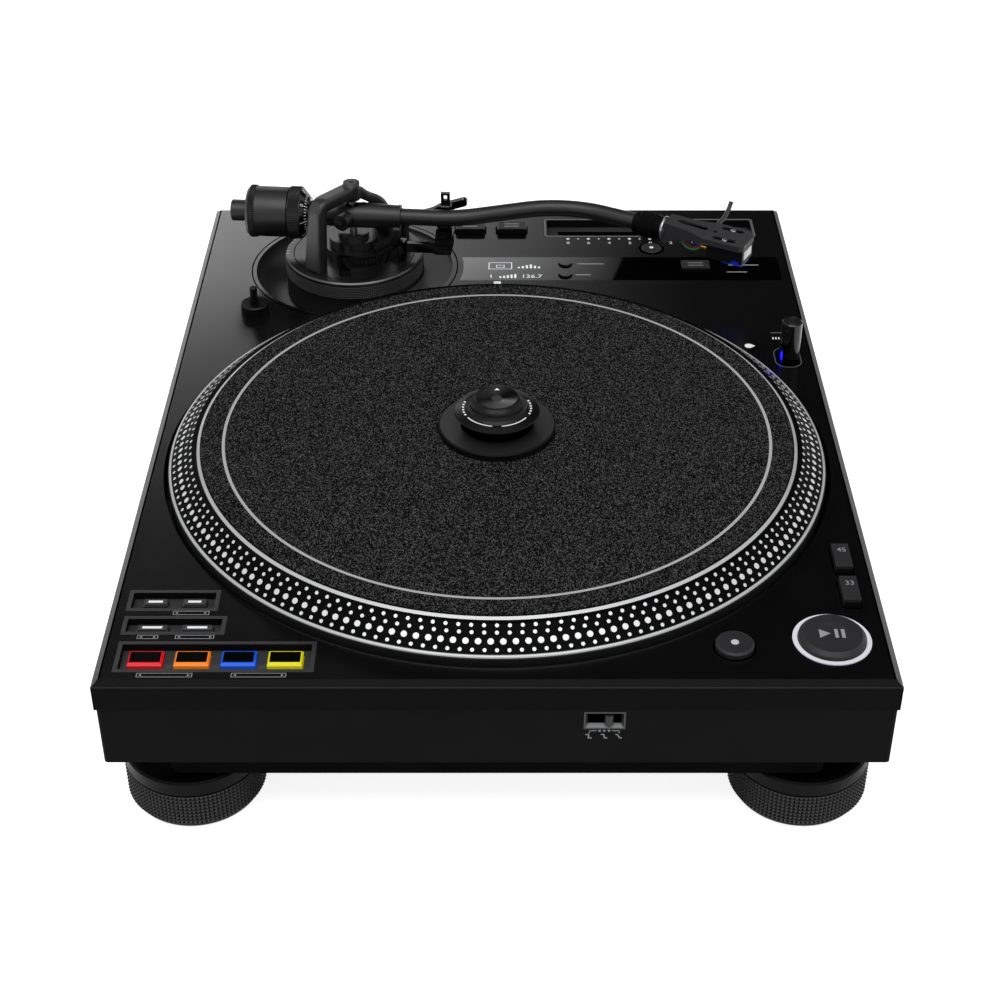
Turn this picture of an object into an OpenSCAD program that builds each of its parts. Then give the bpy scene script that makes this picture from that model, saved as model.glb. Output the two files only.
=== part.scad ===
// Direct-drive disc player with an S-shaped tonearm, laid out with its long side front to back.
// Origin at the centre of the footprint on the floor, +X right, +Y towards the tonearm, +Z up.

/* [Body] */
// Width of the top panel, left to right
body_w = 353; // [350:1:372]
// Length of the top panel, front to back
body_l = 453; // [450:1:470]
// Height of the top panel's skirt
panel_h = 15.3; // [14:0.1:18]
// Width of the bevel round the top panel
panel_bevel = 3; // [1:0.1:3.5]
// Drop of the bevel round the top panel
panel_bevel_drop = 2.4; // [1:0.1:3.4]
// Wall of the top panel's skirt
panel_wall = 4; // [2:0.1:4.5]
// Thickness of the deck plate
deck_t = 4; // [3:0.1:4.5]
// How far the cabinet stands back under the top panel
cabinet_inset = 0.6; // [0.5:0.1:2]
// Height of the cabinet below the top panel
cabinet_h = 31.7; // [30:0.1:40]
// Wall of the cabinet
cabinet_wall = 4; // [2.5:0.1:4.5]
// Height of the base slab
base_h = 17; // [12:0.5:24]
// How far the base slab stands back at each side
base_inset_x = 26.5; // [20:0.5:34]
// How far the base slab stands back at front and rear
base_inset_y = 11.5; // [6:0.5:20]

/* [Feet] */
// Radius of a foot
foot_r = 32.3; // [26:0.1:33]
// Height of a foot
foot_h = 30; // [26:0.5:40]
// Gap between a foot and the base slab
foot_gap = 3; // [2:0.1:6]
// Sideways place of the feet from the centre
foot_x = 143; // [130:0.5:143]
// Lengthways place of the feet from the centre
foot_y = 187; // [170:0.5:190]
// Height of the smooth band at the top of a foot
foot_band_h = 7.5; // [5:0.1:12]
// Radius of a foot's threaded stud
foot_stud_r = 5; // [4:0.1:7]
// Length of the stud inside the base slab
foot_stud_l = 10; // [6:0.5:11]

/* [Platter] */
// Lengthways place of the spindle
platter_y = -47.5; // [-50:0.5:-46]
// Outer radius of the platter's rim
platter_r = 166; // [160:0.5:166.5]
// Radius where the strobe cone meets the flat top
platter_top_r = 153.5; // [151:0.5:155]
// Height of the rim's edge over the deck
platter_rim_rise = 2.5; // [1:0.1:4]
// Height of the platter's flat top over the deck
platter_top_rise = 12.5; // [11:0.1:15]
// Depth of the rim below the deck
platter_drop = 7; // [4:0.1:8]
// Thickness of the platter's web
platter_web = 5; // [3:0.1:6]
// Wall of the platter's rim
platter_wall = 6; // [4:0.1:8]
// Gap between the rim and its well
well_gap = 2.5; // [1.5:0.1:2.6]
// Depth of the platter's well
well_depth = 11; // [10.5:0.1:11.2]
// Floor and wall of the well
well_wall = 3; // [2:0.1:3]
// Radius of the slipmat
mat_r = 148.7; // [140:0.1:150]
// Thickness of the slipmat
mat_t = 1.6; // [1:0.1:3]
// Radius of the spindle
spindle_r = 3.6; // [3:0.05:4]
// Height of the spindle over the slipmat
spindle_rise = 9; // [6:0.5:11]

/* [Drive] */
// Radius of the bearing's barrel
bearing_r = 12; // [9:0.5:14]
// Length of the bearing below the well
bearing_l = 24; // [18:0.5:26]
// Radius of the bearing's flange
bearing_flange_r = 20; // [17:0.5:22]
// Thickness of the bearing's flange
bearing_flange_t = 3; // [2:0.1:3.5]
// Radius of the stator's coil circle
coil_circle_r = 48; // [44:0.5:52]
// Number of coils
coil_count = 9; // [6:1:12]
// Radius of one coil
coil_r = 13; // [9:0.5:14]
// Height of one coil
coil_h = 5; // [3:0.1:5.5]
// Thickness of the stator's board
stator_board_t = 1.6; // [1:0.1:2]
// Thickness of the magnet ring
magnet_t = 3; // [2:0.1:3.5]
// Thickness of the rotor's yoke
yoke_t = 2.5; // [1.5:0.1:3]

/* [Clamp] */
// Radius of the clamp's flange
clamp_flange_r = 29.6; // [26:0.1:34]
// Thickness of the clamp's flange
clamp_flange_t = 3.7; // [2:0.1:4]
// Radius of the torque dial at its foot
dial_foot_r = 18.3; // [17:0.1:19]
// Radius of the torque dial at its lip
dial_lip_r = 21.5; // [20:0.1:24]
// Height of the torque dial's drum
dial_h = 8.7; // [7:0.1:12]
// Radius of the shoulder under the dial's top
dome_r = 13.5; // [12.5:0.1:15]
// Radius of the dished cap in the dial's top
dial_cap_r = 10.6; // [8:0.1:11]
// Height of the dial's top above the drum
dome_h = 6.8; // [6:0.1:8]

/* [Trays and buttons] */
// Depth of the button trays
tray_depth = 3.8; // [3:0.1:5]
// Thickness of a tray's floor
tray_floor = 1.6; // [1:0.1:2.5]
// Width of a tray's visible frame
tray_frame = 2; // [1:0.1:2.5]
// How far the tray buttons lie below the deck
tray_button_sink = 1.4; // [0.5:0.1:2]
// Travel of the push buttons
button_travel = 1.2; // [0.6:0.1:1.6]
// Ledge under a button that keeps it in its hole
button_lip = 1; // [0.6:0.1:1.2]
// Size of the performance pads
pad_size = [15.6, 10]; // [5:0.1:16]
// Centre of the leftmost pad
pad_first = [-155.3, -207.1]; // [-220:0.1:0]
// Spacing of the pads
pad_pitch = 20.6; // [18.5:0.1:20.8]
// Width of the coloured skirt round a pad's cap
pad_skirt = 1.1; // [0.6:0.1:1.6]
// Centre of the pad tray
pad_tray_at = [-124.1, -208.35]; // [-220:0.05:0]
// Size of the pad tray
pad_tray_size = [88.2, 20.9]; // [16:0.1:90]
// Centre of the mode tray
mode_tray_at = [-145.3, -186.6]; // [-220:0.1:0]
// Size of the mode tray
mode_tray_size = [46.6, 13.2]; // [9:0.1:48]
// Size of the mode buttons
mode_button_size = [14.2, 4.7]; // [3:0.1:15]
// Centre of the hot cue button
hot_cue_at = [-155.3, -186.45]; // [-220:0.05:0]
// Centre of the sampler button
sampler_at = [-135.05, -186.45]; // [-220:0.05:0]
// Centre of the shift tray
shift_tray_at = [-147.95, -168.75]; // [-220:0.05:0]
// Size of the shift tray
shift_tray_size = [41.9, 15.3]; // [10:0.1:44]
// Size of the shift buttons
shift_button_size = [11, 5.2]; // [3:0.1:12]
// Centre of the shift button
shift_at = [-156.5, -167.9]; // [-220:0.1:0]
// Centre of the doubles button
doubles_at = [-138.6, -167.9]; // [-220:0.1:0]
// Centre of the start button
start_at = [149.3, -196.8]; // [-220:0.1:160]
// Radius of the start button
start_r = 15.1; // [12:0.1:16]
// Rise of the start button over the deck
start_rise = 3.8; // [2.6:0.1:5]
// Bevel round the start button's top
start_bevel = 1.8; // [0.6:0.1:2.2]
// Outer radius of the light ring round the start button
start_ring_r = 17.6; // [17:0.1:20]
// Centre of the motor switch
motor_off_at = [105.3, -202]; // [-220:0.1:120]
// Radius of the motor switch
motor_off_r = 8.7; // [6:0.1:10]
// Rise of the motor switch over the deck
motor_off_rise = 3; // [1:0.1:4]
// Size of the speed buttons
speed_size = [7.8, 19.3]; // [5:0.1:20]
// Centre of the faster speed button
speed_45_at = [161.9, -139.5]; // [-220:0.1:165]
// Centre of the slower speed button
speed_33_at = [161.9, -164.4]; // [-220:0.1:165]
// Rise of the speed buttons over the deck
speed_rise = 4; // [1.5:0.1:5]
// Centre of the tempo reset button
reset_at = [93.5, 172.4]; // [90:0.1:175]
// Radius of the tempo reset button
reset_r = 6; // [4:0.1:7]
// Size of the pitch buttons
pitch_size = [18, 9.5]; // [5:0.1:20]
// Centre of the step pitch button
step_pitch_at = [-16.4, 196.2]; // [-20:0.1:200]
// Centre of the tempo range button
tempo_range_at = [9, 196.2]; // [5:0.1:200]
// Rise of the pitch buttons over the deck
pitch_rise = 3.4; // [1.5:0.1:4]

/* [Display] */
// Left and right ends of the display strip
window_x = [-30, 168]; // [-40:0.5:168]
// Front and rear edges of the display strip
window_y = [132.8, 161.5]; // [125:0.1:165]
// Thickness of the display strip
window_t = 2; // [1.2:0.1:2.4]
// Width of the ledge that the strip rests on
window_ledge = 3; // [2:0.1:4]
// Radius of the strip's hollow left end, round the tonearm
window_arc_r = 64.5; // [62.5:0.1:68]
// Centre of the application button
application_at = [40.8, 153]; // [30:0.1:155]
// Centre of the deck button
deck_at = [40.4, 139.5]; // [30:0.1:155]
// Radius of the two round display buttons
round_r = 4.05; // [3:0.05:4.5]
// Size of the needle mode button
needle_size = [16.8, 9.7]; // [6:0.1:18]
// Centre of the needle mode button
needle_at = [118.2, 150.6]; // [110:0.1:155]
// Rise of the display buttons over the deck
round_rise = 1.2; // [0.6:0.1:2]

/* [Sliders and lamp] */
// Centre of the tempo slider's recess
tempo_at = [93.75, 199.55]; // [90:0.05:202]
// Size of the tempo slider's recess
tempo_size = [129.9, 24.3]; // [22:0.1:132]
// Depth of the tempo slider's recess
tempo_depth = 5; // [3:0.1:6]
// Travel of the tempo slider each way
tempo_travel = 50; // [40:0.5:52]
// Size of the tempo slider's cap
tempo_cap = [11, 17]; // [8:0.1:18]
// Height of the tempo slider's cap over the deck
tempo_rise = 6; // [3:0.1:9]
// Corner radius of the tempo recess
tempo_corner = 2; // [1:0.1:4]
// Centre of the brake slider's window, left to right
brake_x = 47.4; // [30:0.1:60]
// Centre of the brake slider's window below the deck
brake_z = 21.9; // [20:0.1:24]
// Size of the brake slider's window
brake_size = [19, 10.4]; // [9:0.1:22]
// Depth of the brake slider's recess
brake_depth = 2.4; // [1.5:0.1:2.6]
// Width of the brake slider's knob
brake_knob_w = 4; // [3:0.1:5]
// Height of the brake slider's knob
brake_knob_h = 5.6; // [4:0.1:8]
// Rest place of the brake knob from the window's centre
brake_offset = 2; // [-3:0.1:3]
// Travel of the brake knob either side of the window's centre
brake_travel = 5; // [3:0.1:5.2]
// Centre of the pop-up lamp
lamp_at = [160.6, 44.7]; // [40:0.1:161]
// Radius of the pop-up lamp
lamp_r = 5.5; // [4:0.1:6]
// Height of the pop-up lamp over the deck
lamp_rise = 23.5; // [20:0.5:28]
// Length of the lamp that stays below the deck
lamp_root = 9; // [6:0.5:10]
// Size of the shallow pocket round the lamp
lamp_pocket = [13.6, 20]; // [13.2:0.1:21]
// Centre of the headshell stand
stand_at = [-138.5, 96]; // [-142:0.5:98]
// Radius of the headshell stand's base
stand_r = 7.8; // [5:0.1:9]
// Height of the headshell stand's base
stand_h = 6; // [3:0.1:8]
// Radius of the headshell stand's pin
stand_pin_r = 2.1; // [1.5:0.1:3]
// Length of the headshell stand's pin
stand_pin_l = 10; // [6:0.5:14]

/* [Arm base] */
// Place of the tonearm's pivot
pivot = [-84.5, 150]; // [-90:0.5:155]
// Radius of the bowl round the tonearm
bowl_r = 58; // [56:0.1:59]
// Radius of the bowl's hollow side
dish_r = 15; // [12:0.1:15.5]
// Depth of the bowl's flat side
shelf_depth = 2; // [1:0.1:4]
// Radius of the groove line round the bowl
bowl_line_r = 61; // [60:0.1:61.5]
// Outer radius of the height ring
ring_r = 40.5; // [38:0.1:41]
// Height of the height ring over the deck
ring_rise = 10.5; // [8:0.1:13]
// Wall of the height ring
ring_wall = 4.6; // [3:0.1:5]
// Travel of the tonearm's height setting
arm_lift = 6; // [3:0.5:7]
// Radius of the arm base's guide
guide_r = 15; // [12:0.5:18]
// Radius of the tower's lower step
tower_r = 17; // [14:0.1:18]
// Heights of the tower's three steps over the base disc
tower_steps = [5.5, 11, 13.5]; // [3:0.1:13.6]
// Width of the arch over the pivot
arch_w = 12; // [10:0.1:13]
// Width of the arch at its top
arch_top_w = 8.4; // [7:0.1:9.4]
// Heading of the arch's near leg from +X
arch_heading = -130; // [-134:1:-126]
// Radius of the pivot cap on the arch
cap_r = 4.85; // [4:0.05:6]
// Height of the pivot cap over the deck
cap_rise = 55; // [54:0.5:58]

/* [Tonearm] */
// Height of the tonearm's axis over the deck
arm_rise = 34.2; // [34:0.1:35]
// Heading of the resting arm, to the right of +X
arm_yaw = 5; // [3:0.5:6]
// Radius of the tonearm's tube
tube_r = 4.8; // [4:0.1:5]
// Radius of the first bend
bend_r1 = 60; // [56:1:66]
// Angle of the first bend
bend_a1 = 21; // [20:0.5:22]
// Heading of the headshell, to the right of the tube's own
head_a = 23.5; // [22:0.5:26]
// Reach of the tube's end from the pivot along the tube
tube_reach = 163.4; // [158:0.1:170]
// Side step of the tube's end from the pivot
tube_step = 6.5; // [5.5:0.1:7.5]
// Side step of the tube's furthest bow
tube_bow = 18.9; // [18.4:0.1:19.6]
// Length of the tube's straight tail behind the collar
tube_tail = 18; // [16:0.1:20]
// Radius of the pivot housing
housing_r = 7.4; // [6.8:0.1:7.6]
// Length of the housing ahead of the pivot
housing_front = 28.5; // [27:0.1:31]
// Length of the housing behind the pivot
housing_rear = 15.5; // [13:0.1:17]
// Radius of the rear shaft
shaft_r = 6.2; // [5:0.1:6.5]
// Reach of the rear shaft behind the pivot
shaft_reach = 71.5; // [66:0.5:74]
// Radius of the gimbal's upright spindle
upright_r = 2.2; // [1.8:0.1:2.4]
// Radius of the gimbal's cross pin
cross_r = 2; // [1.5:0.1:2.1]
// Radius of the side bearing on the housing
boss_r = 4.8; // [4:0.1:5]
// Reach of the side bearing from the pivot
boss_reach = 13; // [11:0.1:14]
// Radius of the counterweight
weight_r = 15; // [12:0.1:15.3]
// Length of the counterweight
weight_l = 24.6; // [22:0.1:26]
// Reach of the counterweight's front face behind the pivot
weight_front = 36.7; // [36.3:0.1:37.8]
// Length of the tracking force dial
force_dial_l = 12.3; // [11:0.1:12.8]
// Length of the headshell's locking collar
collar_l = 19.7; // [16:0.1:22]
// Radius of the headshell's locking collar
collar_r = 7.4; // [6.5:0.1:8]
// Length of the headshell beyond the collar
shell_l = 53; // [52:0.5:56]
// Half width of the headshell at the cartridge
shell_half_w = 11; // [10:0.1:12]
// Half width of the headshell at its neck
shell_neck_w = 6.4; // [5.5:0.1:6.8]
// Height of the headshell's plate over the collar's middle
shell_lift = 2.2; // [1.8:0.1:2.6]
// Thickness of the headshell's plate
shell_t = 3.2; // [2:0.1:4]
// Size of the cartridge: length, width, height
cartridge_size = [22, 15, 10]; // [8:0.1:24]
// Reach of the stylus tip beyond the tube's end
stylus_reach = 69; // [67:0.5:70]
// Drop of the stylus below the cartridge
stylus_drop = 3.5; // [2.5:0.1:4]
// Radius of a cartridge lead
lead_r = 0.5; // [0.3:0.05:0.6]

/* [Arm rest and lifter] */
// Inner radius of the rest's curved bracket
bracket_r = 29.5; // [29:0.1:30]
// Radial thickness of the rest's curved bracket
bracket_t = 3.5; // [2.5:0.1:4]
// Headings of the curved bracket's ends
bracket_ends = [-98, -10]; // [-104:1:-8]
// Heights of the bracket's lower and upper edge over the deck
bracket_z = [16.5, 23]; // [15:0.1:23.5]
// Reach of the rest post from the pivot
rest_reach = 53.5; // [52:0.1:55]
// Width of the rest post along the tube
rest_w = 8; // [6:0.1:9]
// Gap between the tube and its cradle
cradle_gap = 1.2; // [1:0.1:1.6]
// Height of the clip over the deck when it stands open
clip_rise = 45; // [44:0.5:48]
// Radius of the lifter's curve round the pivot
lifter_r = 26; // [25.5:0.1:26.5]
// Half the thickness of the lifter's bar
rod_r = 1.8; // [1.4:0.1:2]
// Gap between the lifter and the housing
lifter_gap = 1.2; // [1:0.1:1.6]
// Travel of the lifter
lifter_travel = 4.5; // [3:0.1:5]
// Headings of the lifter's ends
lifter_ends = [8, -52]; // [-56:1:10]
// Distance of the cue lever's post from the pivot
cue_reach = 31.5; // [31:0.1:32]
// Heading of the cue lever's post
cue_heading = 29; // [28:0.5:31]
// Length of the cue lever
cue_l = 40.5; // [38:0.5:46]
// Upward slope of the cue lever
cue_slope = 18.5; // [12:0.5:22]
// Radius of the anti-skating dial
skate_r = 7; // [5:0.1:7.5]
// Height of the anti-skating dial
skate_h = 7; // [4:0.1:8]
// Distance of the anti-skating dial from the pivot
skate_reach = 27; // [26:0.1:28]
// Heading of the anti-skating dial
skate_heading = 100; // [96:1:108]

/* [Sockets] */
// Left and right ends of the socket bay
bay_x = [20, 150]; // [10:1:155]
// Height of the socket bay
bay_h = 20; // [18:0.5:22]
// Depth of the socket bay
bay_depth = 16; // [14:0.5:20]
// Wall of the socket bay
bay_wall = 2; // [1.5:0.1:2.5]
// Radius of an audio jack's barrel
jack_r = 4.15; // [4:0.05:4.5]
// Length of an audio jack's barrel
jack_l = 9; // [7:0.5:10]
// Size of the mains inlet's mouth
inlet_size = [18, 9]; // [8.5:0.1:20]
// Size of the data socket's mouth
data_size = [8.5, 7.8]; // [7:0.1:9]

/* [Fits] */
// Gap round pieces that move
fit = 0.3; // [0.2:0.05:0.4]
// Gap round pieces that stay put
seat = 0.1; // [0.05:0.05:0.2]
// Radial gap of a shaft in its bearing
run = 0.05; // [0.02:0.01:0.1]

/* [Hidden] */
$fn = 64;
base_z = foot_h + foot_gap;
cabinet_z = base_z + base_h;
panel_z = cabinet_z + cabinet_h;
deck_z = panel_z + panel_h;
cabinet_w = body_w - 2 * cabinet_inset;
cabinet_l = body_l - 2 * cabinet_inset;
well_r = platter_r + well_gap;
tray_under = tray_depth + tray_floor;
tempo_under = tempo_depth + tray_floor;
lip_t = 1;
slide_stem = [5, 3];
slide_shoe = [9, 8, 2];
bearing_bottom = -well_depth - bearing_l;
bearing_plug = 3;
yoke_z = -well_depth + stator_board_t + coil_h + magnet_t + 1;
hub_r = 10;
hub_flange_r = 26;
rotor_r = coil_circle_r + coil_r;
mat_z = platter_top_rise + mat_t;
clamp_bore = spindle_r + fit;
dial_z = mat_z + clamp_flange_t + fit;
dial_boss_r = spindle_r + 4;
bowl_hole_r = ring_r + 0.7;
bowl_floor = -dish_r;
bowl_wall = 3;
disc_r = ring_r - ring_wall - 0.5;
base_under = bowl_floor + fit;
guide_l = arm_lift + bowl_wall + 2;
leg_t = 6.4;
near_leg = disc_r;
far_leg = 28;
arch_top = cap_rise - 1.5;
arch_bend = 9;
leg_lean = 3.5;
far_bend = 25;
far_t = 5.4;
cap_under = arm_rise + housing_r + 3;
tower_rise = ring_rise + tower_steps[2];
upright_bottom = ring_rise + 2;
bend_step = tube_step + tube_tail * sin(head_a);
bend_reach = tube_reach - tube_tail * cos(head_a);
bend_r2 = (tube_bow - bend_step) / (1 - cos(head_a));
bend_run = (bend_step - bend_r1 * (1 - cos(bend_a1)) + bend_r2 * (cos(bend_a1) - cos(head_a)))
    / sin(bend_a1);
tube_run = bend_reach - bend_r1 * sin(bend_a1) - bend_run * cos(bend_a1)
    - bend_r2 * (sin(bend_a1) + sin(head_a));
bend_swell = 0.02;
bend_lap = 0.4;
plug_l = 11;
collar_from = 2.2;
shell_start = collar_l + fit;
shell_end = shell_start + shell_l;
shell_under = shell_lift;
shell_waist = shell_start + 18;
shell_shoulder = shell_end - 24;
cartridge_back = shell_end - cartridge_size[0] - 1;
cartridge_under = shell_under - cartridge_size[2];
pin_l = 3.5;
lead_ys = [-4.5, -1.5, 1.5, 4.5];
lead_from = shell_start + 13;
lead_to = cartridge_back - pin_l - 0.6;
lead_z = shell_under - 4.5;
lead_sweep = 130;
dial_back = weight_front - 0.2;
force_rim_l = 7.2;
lifter_z = arm_rise - housing_r - lifter_gap - rod_r + 0.5;
lifter_post_r = 2.2;
lifter_post_at = [lifter_r * cos(lifter_ends[0]), lifter_r * sin(lifter_ends[0])];
cue_at = [cue_reach * cos(cue_heading), cue_reach * sin(cue_heading)];
cue_rise = 25.5;
cue_gap = 4.4;
cue_pin_r = 1.2;
cue_ear_t = 1.6;
skate_at = [skate_reach * cos(skate_heading), skate_reach * sin(skate_heading)];
bar_z = [14.5, 20.3];
bar_t = 3;
block_h = 8;
bar_side = bracket_r * sin(bracket_ends[1]);
cradle_z = arm_rise - tube_r - cradle_gap;
cradle_back = tube_r + cradle_gap;
clip_axis = [cradle_back + 2, arm_rise + 3];
clip_lift = tube_r + 0.6 - (clip_axis[1] - arm_rise);
clip_t = 2.4;
clip_w = rest_w - 2;
bay_z = cabinet_z + cabinet_wall + 2;
bay_mid_x = (bay_x[0] + bay_x[1]) / 2;
bay_back = cabinet_l / 2 - bay_depth;
shroud_l = 10;
jack_xs = [bay_x[0] + 18, bay_x[0] + 36];
earth_x = bay_x[0] + 54;
data_x = bay_x[0] + 77;
inlet_x = bay_x[0] + 109;
screw_r = 2;
screw_head_r = 4;
screw_head_h = 3;
board_t = 1.6;
board_rise = 5;
main_board = [170, 90];
main_board_at = [cabinet_w / 2 - cabinet_wall - 37 - main_board[0] / 2,
    bay_back - bay_wall - 10 - main_board[1] / 2];
main_board_z = cabinet_z + cabinet_wall + board_rise;
pad_board = [84, 54];
pad_board_at = [-cabinet_w / 2 + cabinet_wall + 7 + pad_board[0] / 2,
    -cabinet_l / 2 + cabinet_wall + 5 + pad_board[1] / 2];
pad_board_z = panel_z - 6;
pad_names = ["pad_1", "pad_2", "pad_3", "pad_4"];
pad_colours = ["crimson", "darkorange", "royalblue", "gold"];
foot_names = ["foot_front_left", "foot_front_right", "foot_rear_left", "foot_rear_right"];

function pad_at(i) = [pad_first[0] + i * pad_pitch, pad_first[1]];
function foot_at(i) = [(i % 2 == 0 ? -1 : 1) * foot_x, (i < 2 ? -1 : 1) * foot_y];
function arc(c, r, a0, a1, n) = [for (i = [0:n]) c + r * [cos(a0 + (a1 - a0) * i / n), sin(a0 + (a1 - a0) * i / n)]];

// Places

module on_deck(at, z = 0) {
    translate([at[0], at[1], deck_z + z]) children();
}

module at_spindle(z = 0) {
    on_deck([0, platter_y], z) children();
}

module at_pivot(z = 0) {
    on_deck(pivot, z) children();
}

// The arm's own axis lies along its X through the pivot.
module at_arm() {
    at_pivot(arm_rise) rotate([0, 0, -arm_yaw]) children();
}

// The pieces that serve the resting arm keep its heading.
module at_rest(z = 0) {
    at_pivot(z) rotate([0, 0, -arm_yaw]) children();
}

// The headshell's axis starts at the tube's end and turns to the right of the tube.
module at_head() {
    at_arm() translate([tube_reach, tube_step, 0]) rotate([0, 0, -head_a]) children();
}

// The tilt axis lies level and square to the headshell; its near end points to the left and forward.
module at_tilt() {
    at_arm() rotate([0, 0, -head_a]) rotate([90, 0, 0]) children();
}

// Shapes

module rrect(size, r) {
    square([size[0] - 2 * r, size[1]], center = true);
    square([size[0], size[1] - 2 * r], center = true);
    for (x = [-1, 1], y = [-1, 1])
        translate([x * (size[0] / 2 - r), y * (size[1] / 2 - r)]) circle(r = r);
}

module slab(size, r, z0, z1) {
    translate([0, 0, z0]) linear_extrude(z1 - z0) rrect(size, r);
}

module pipe(r0, r1, z0, z1) {
    translate([0, 0, z0]) difference() {
        cylinder(r = r1, h = z1 - z0);
        translate([0, 0, -1]) cylinder(r = r0, h = z1 - z0 + 2);
    }
}

module along_x(x0, x1, r) {
    translate([x0, 0, 0]) rotate([0, 90, 0]) cylinder(r = r, h = x1 - x0);
}

module sector(r0, r1, a0, a1, z0, z1) {
    translate([0, 0, z0]) rotate([0, 0, a0]) rotate_extrude(angle = a1 - a0)
        translate([r0, 0]) square([r1 - r0, z1 - z0]);
}

// A push button of rectangular outline, kept from below by a ledge under the plate it passes.
module key(size, r, rise, plate) {
    slab(size, r, -plate - fit - lip_t, rise);
    slab([size[0] + 2 * button_lip, size[1] + 2 * button_lip], r, -plate - fit - lip_t, -plate - fit);
}

// A round push button with a chamfered edge.
module round_key(r, rise, plate, chamfer) {
    translate([0, 0, -plate - fit - lip_t]) {
        cylinder(r = r, h = plate + fit + lip_t + rise - chamfer);
        cylinder(r = r + button_lip, h = lip_t);
    }
    translate([0, 0, rise - chamfer]) cylinder(r1 = r, r2 = r - chamfer, h = chamfer);
}

module key_hole(size, r) {
    slab([size[0] + 2 * fit, size[1] + 2 * fit], r + fit, -deck_t - 2 * lip_t, 1);
}

module tray(at, size, depth, corner) {
    on_deck(at) difference() {
        slab(size, corner, -depth - tray_floor, 0);
        slab([size[0] - 2 * tray_frame, size[1] - 2 * tray_frame], corner, -depth, 1);
    }
}

module tray_cut(at, size, corner) {
    on_deck(at) slab([size[0] + 2 * seat, size[1] + 2 * seat], corner, -well_depth + 1, 1);
}

module tray_key_cut(at, size) {
    on_deck(at) slab([size[0] + 2 * fit, size[1] + 2 * fit], 0.5, -tempo_under - 1, 0);
}

// Body shell

module bevelled(width) {
    polygon([[-width / 2, 0], [width / 2, 0], [width / 2, panel_h - panel_bevel_drop],
        [width / 2 - panel_bevel, panel_h], [-width / 2 + panel_bevel, panel_h],
        [-width / 2, panel_h - panel_bevel_drop]]);
}

module panel_shell() {
    difference() {
        intersection() {
            translate([0, body_l / 2, panel_z]) rotate([90, 0, 0]) linear_extrude(body_l) bevelled(body_w);
            translate([-body_w / 2, 0, panel_z]) rotate([90, 0, 90]) linear_extrude(body_w) bevelled(body_l);
        }
        translate([0, 0, panel_z - 1]) linear_extrude(panel_h - deck_t + 1)
            square([body_w - 2 * panel_wall, body_l - 2 * panel_wall], center = true);
    }
}

module window_outline(inset) {
    difference() {
        translate([window_x[0], window_y[0] + inset])
            square([window_x[1] - window_x[0] - inset, window_y[1] - window_y[0] - 2 * inset]);
        translate(pivot) circle(r = window_arc_r + inset);
    }
}

module bowl_cut() {
    at_pivot() {
        translate([0, 0, -shelf_depth]) cylinder(r = bowl_r, h = shelf_depth + 1);
        translate([0, 0, bowl_floor]) cylinder(r = bowl_hole_r, h = dish_r + 1);
        translate([0, 0, bowl_floor - bowl_wall - 1]) cylinder(r = guide_r + run, h = bowl_wall + 2);
        rotate([0, 0, 95]) rotate_extrude(angle = 185) intersection() {
            translate([bowl_r - dish_r + 1, 0]) circle(r = dish_r - 0.5);
            translate([bowl_hole_r - 0.5, -dish_r - 1]) square([bowl_r, dish_r + 2]);
        }
        translate([0, 0, -0.8]) pipe(bowl_line_r - 0.4, bowl_line_r + 0.4, 0, 2);
    }
}

module top_panel() {
    color("#1b1b1d") difference() {
        union() {
            panel_shell();
            at_spindle() translate([0, 0, -well_depth - well_wall])
                cylinder(r = well_r + well_wall, h = well_depth + well_wall - deck_t / 2);
            at_pivot() translate([0, 0, bowl_floor - bowl_wall])
                cylinder(r = bowl_line_r + 1, h = dish_r + bowl_wall - deck_t / 2);
            on_deck(lamp_at, -deck_t - 8) cylinder(r = lamp_r + 2, h = deck_t / 2 + 8);
        }
        at_spindle(-well_depth) cylinder(r = well_r, h = well_depth + 1);
        at_spindle(-well_depth - well_wall - 1) cylinder(r = bearing_r + seat, h = well_wall + 2);
        bowl_cut();
        tray_cut(pad_tray_at, pad_tray_size, 0.5);
        tray_cut(mode_tray_at, mode_tray_size, 0.5);
        tray_cut(shift_tray_at, shift_tray_size, 0.5);
        tray_cut(tempo_at, tempo_size, tempo_corner);
        translate([0, 0, deck_z - window_t]) linear_extrude(window_t + 1) window_outline(0);
        translate([0, 0, deck_z - deck_t - 1]) linear_extrude(deck_t + 1) window_outline(window_ledge);
        on_deck(start_at, -deck_t - 1) cylinder(r = start_r + fit, h = deck_t + 2);
        on_deck(start_at, -2) cylinder(r = start_ring_r + seat, h = 3);
        on_deck(motor_off_at, -deck_t - 1) cylinder(r = motor_off_r + fit, h = deck_t + 2);
        on_deck(reset_at, -deck_t - 1) cylinder(r = reset_r + fit, h = deck_t + 2);
        for (at = [application_at, deck_at])
            on_deck(at, -deck_t - 1) cylinder(r = round_r + button_lip + fit, h = deck_t + 1);
        for (at = [speed_33_at, speed_45_at])
            on_deck(at) key_hole(speed_size, 1);
        for (at = [step_pitch_at, tempo_range_at])
            on_deck(at) key_hole(pitch_size, 1);
        on_deck(lamp_at, -deck_t - 9) cylinder(r = lamp_r + run, h = deck_t + 10);
        on_deck([lamp_at[0] - 0.6, lamp_at[1] + 0.7]) slab(lamp_pocket, 6, -deck_t / 2, 1);
        on_deck(stand_at, -deck_t - 1) cylinder(r = stand_pin_r + seat, h = deck_t + 2);
    }
}

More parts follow.
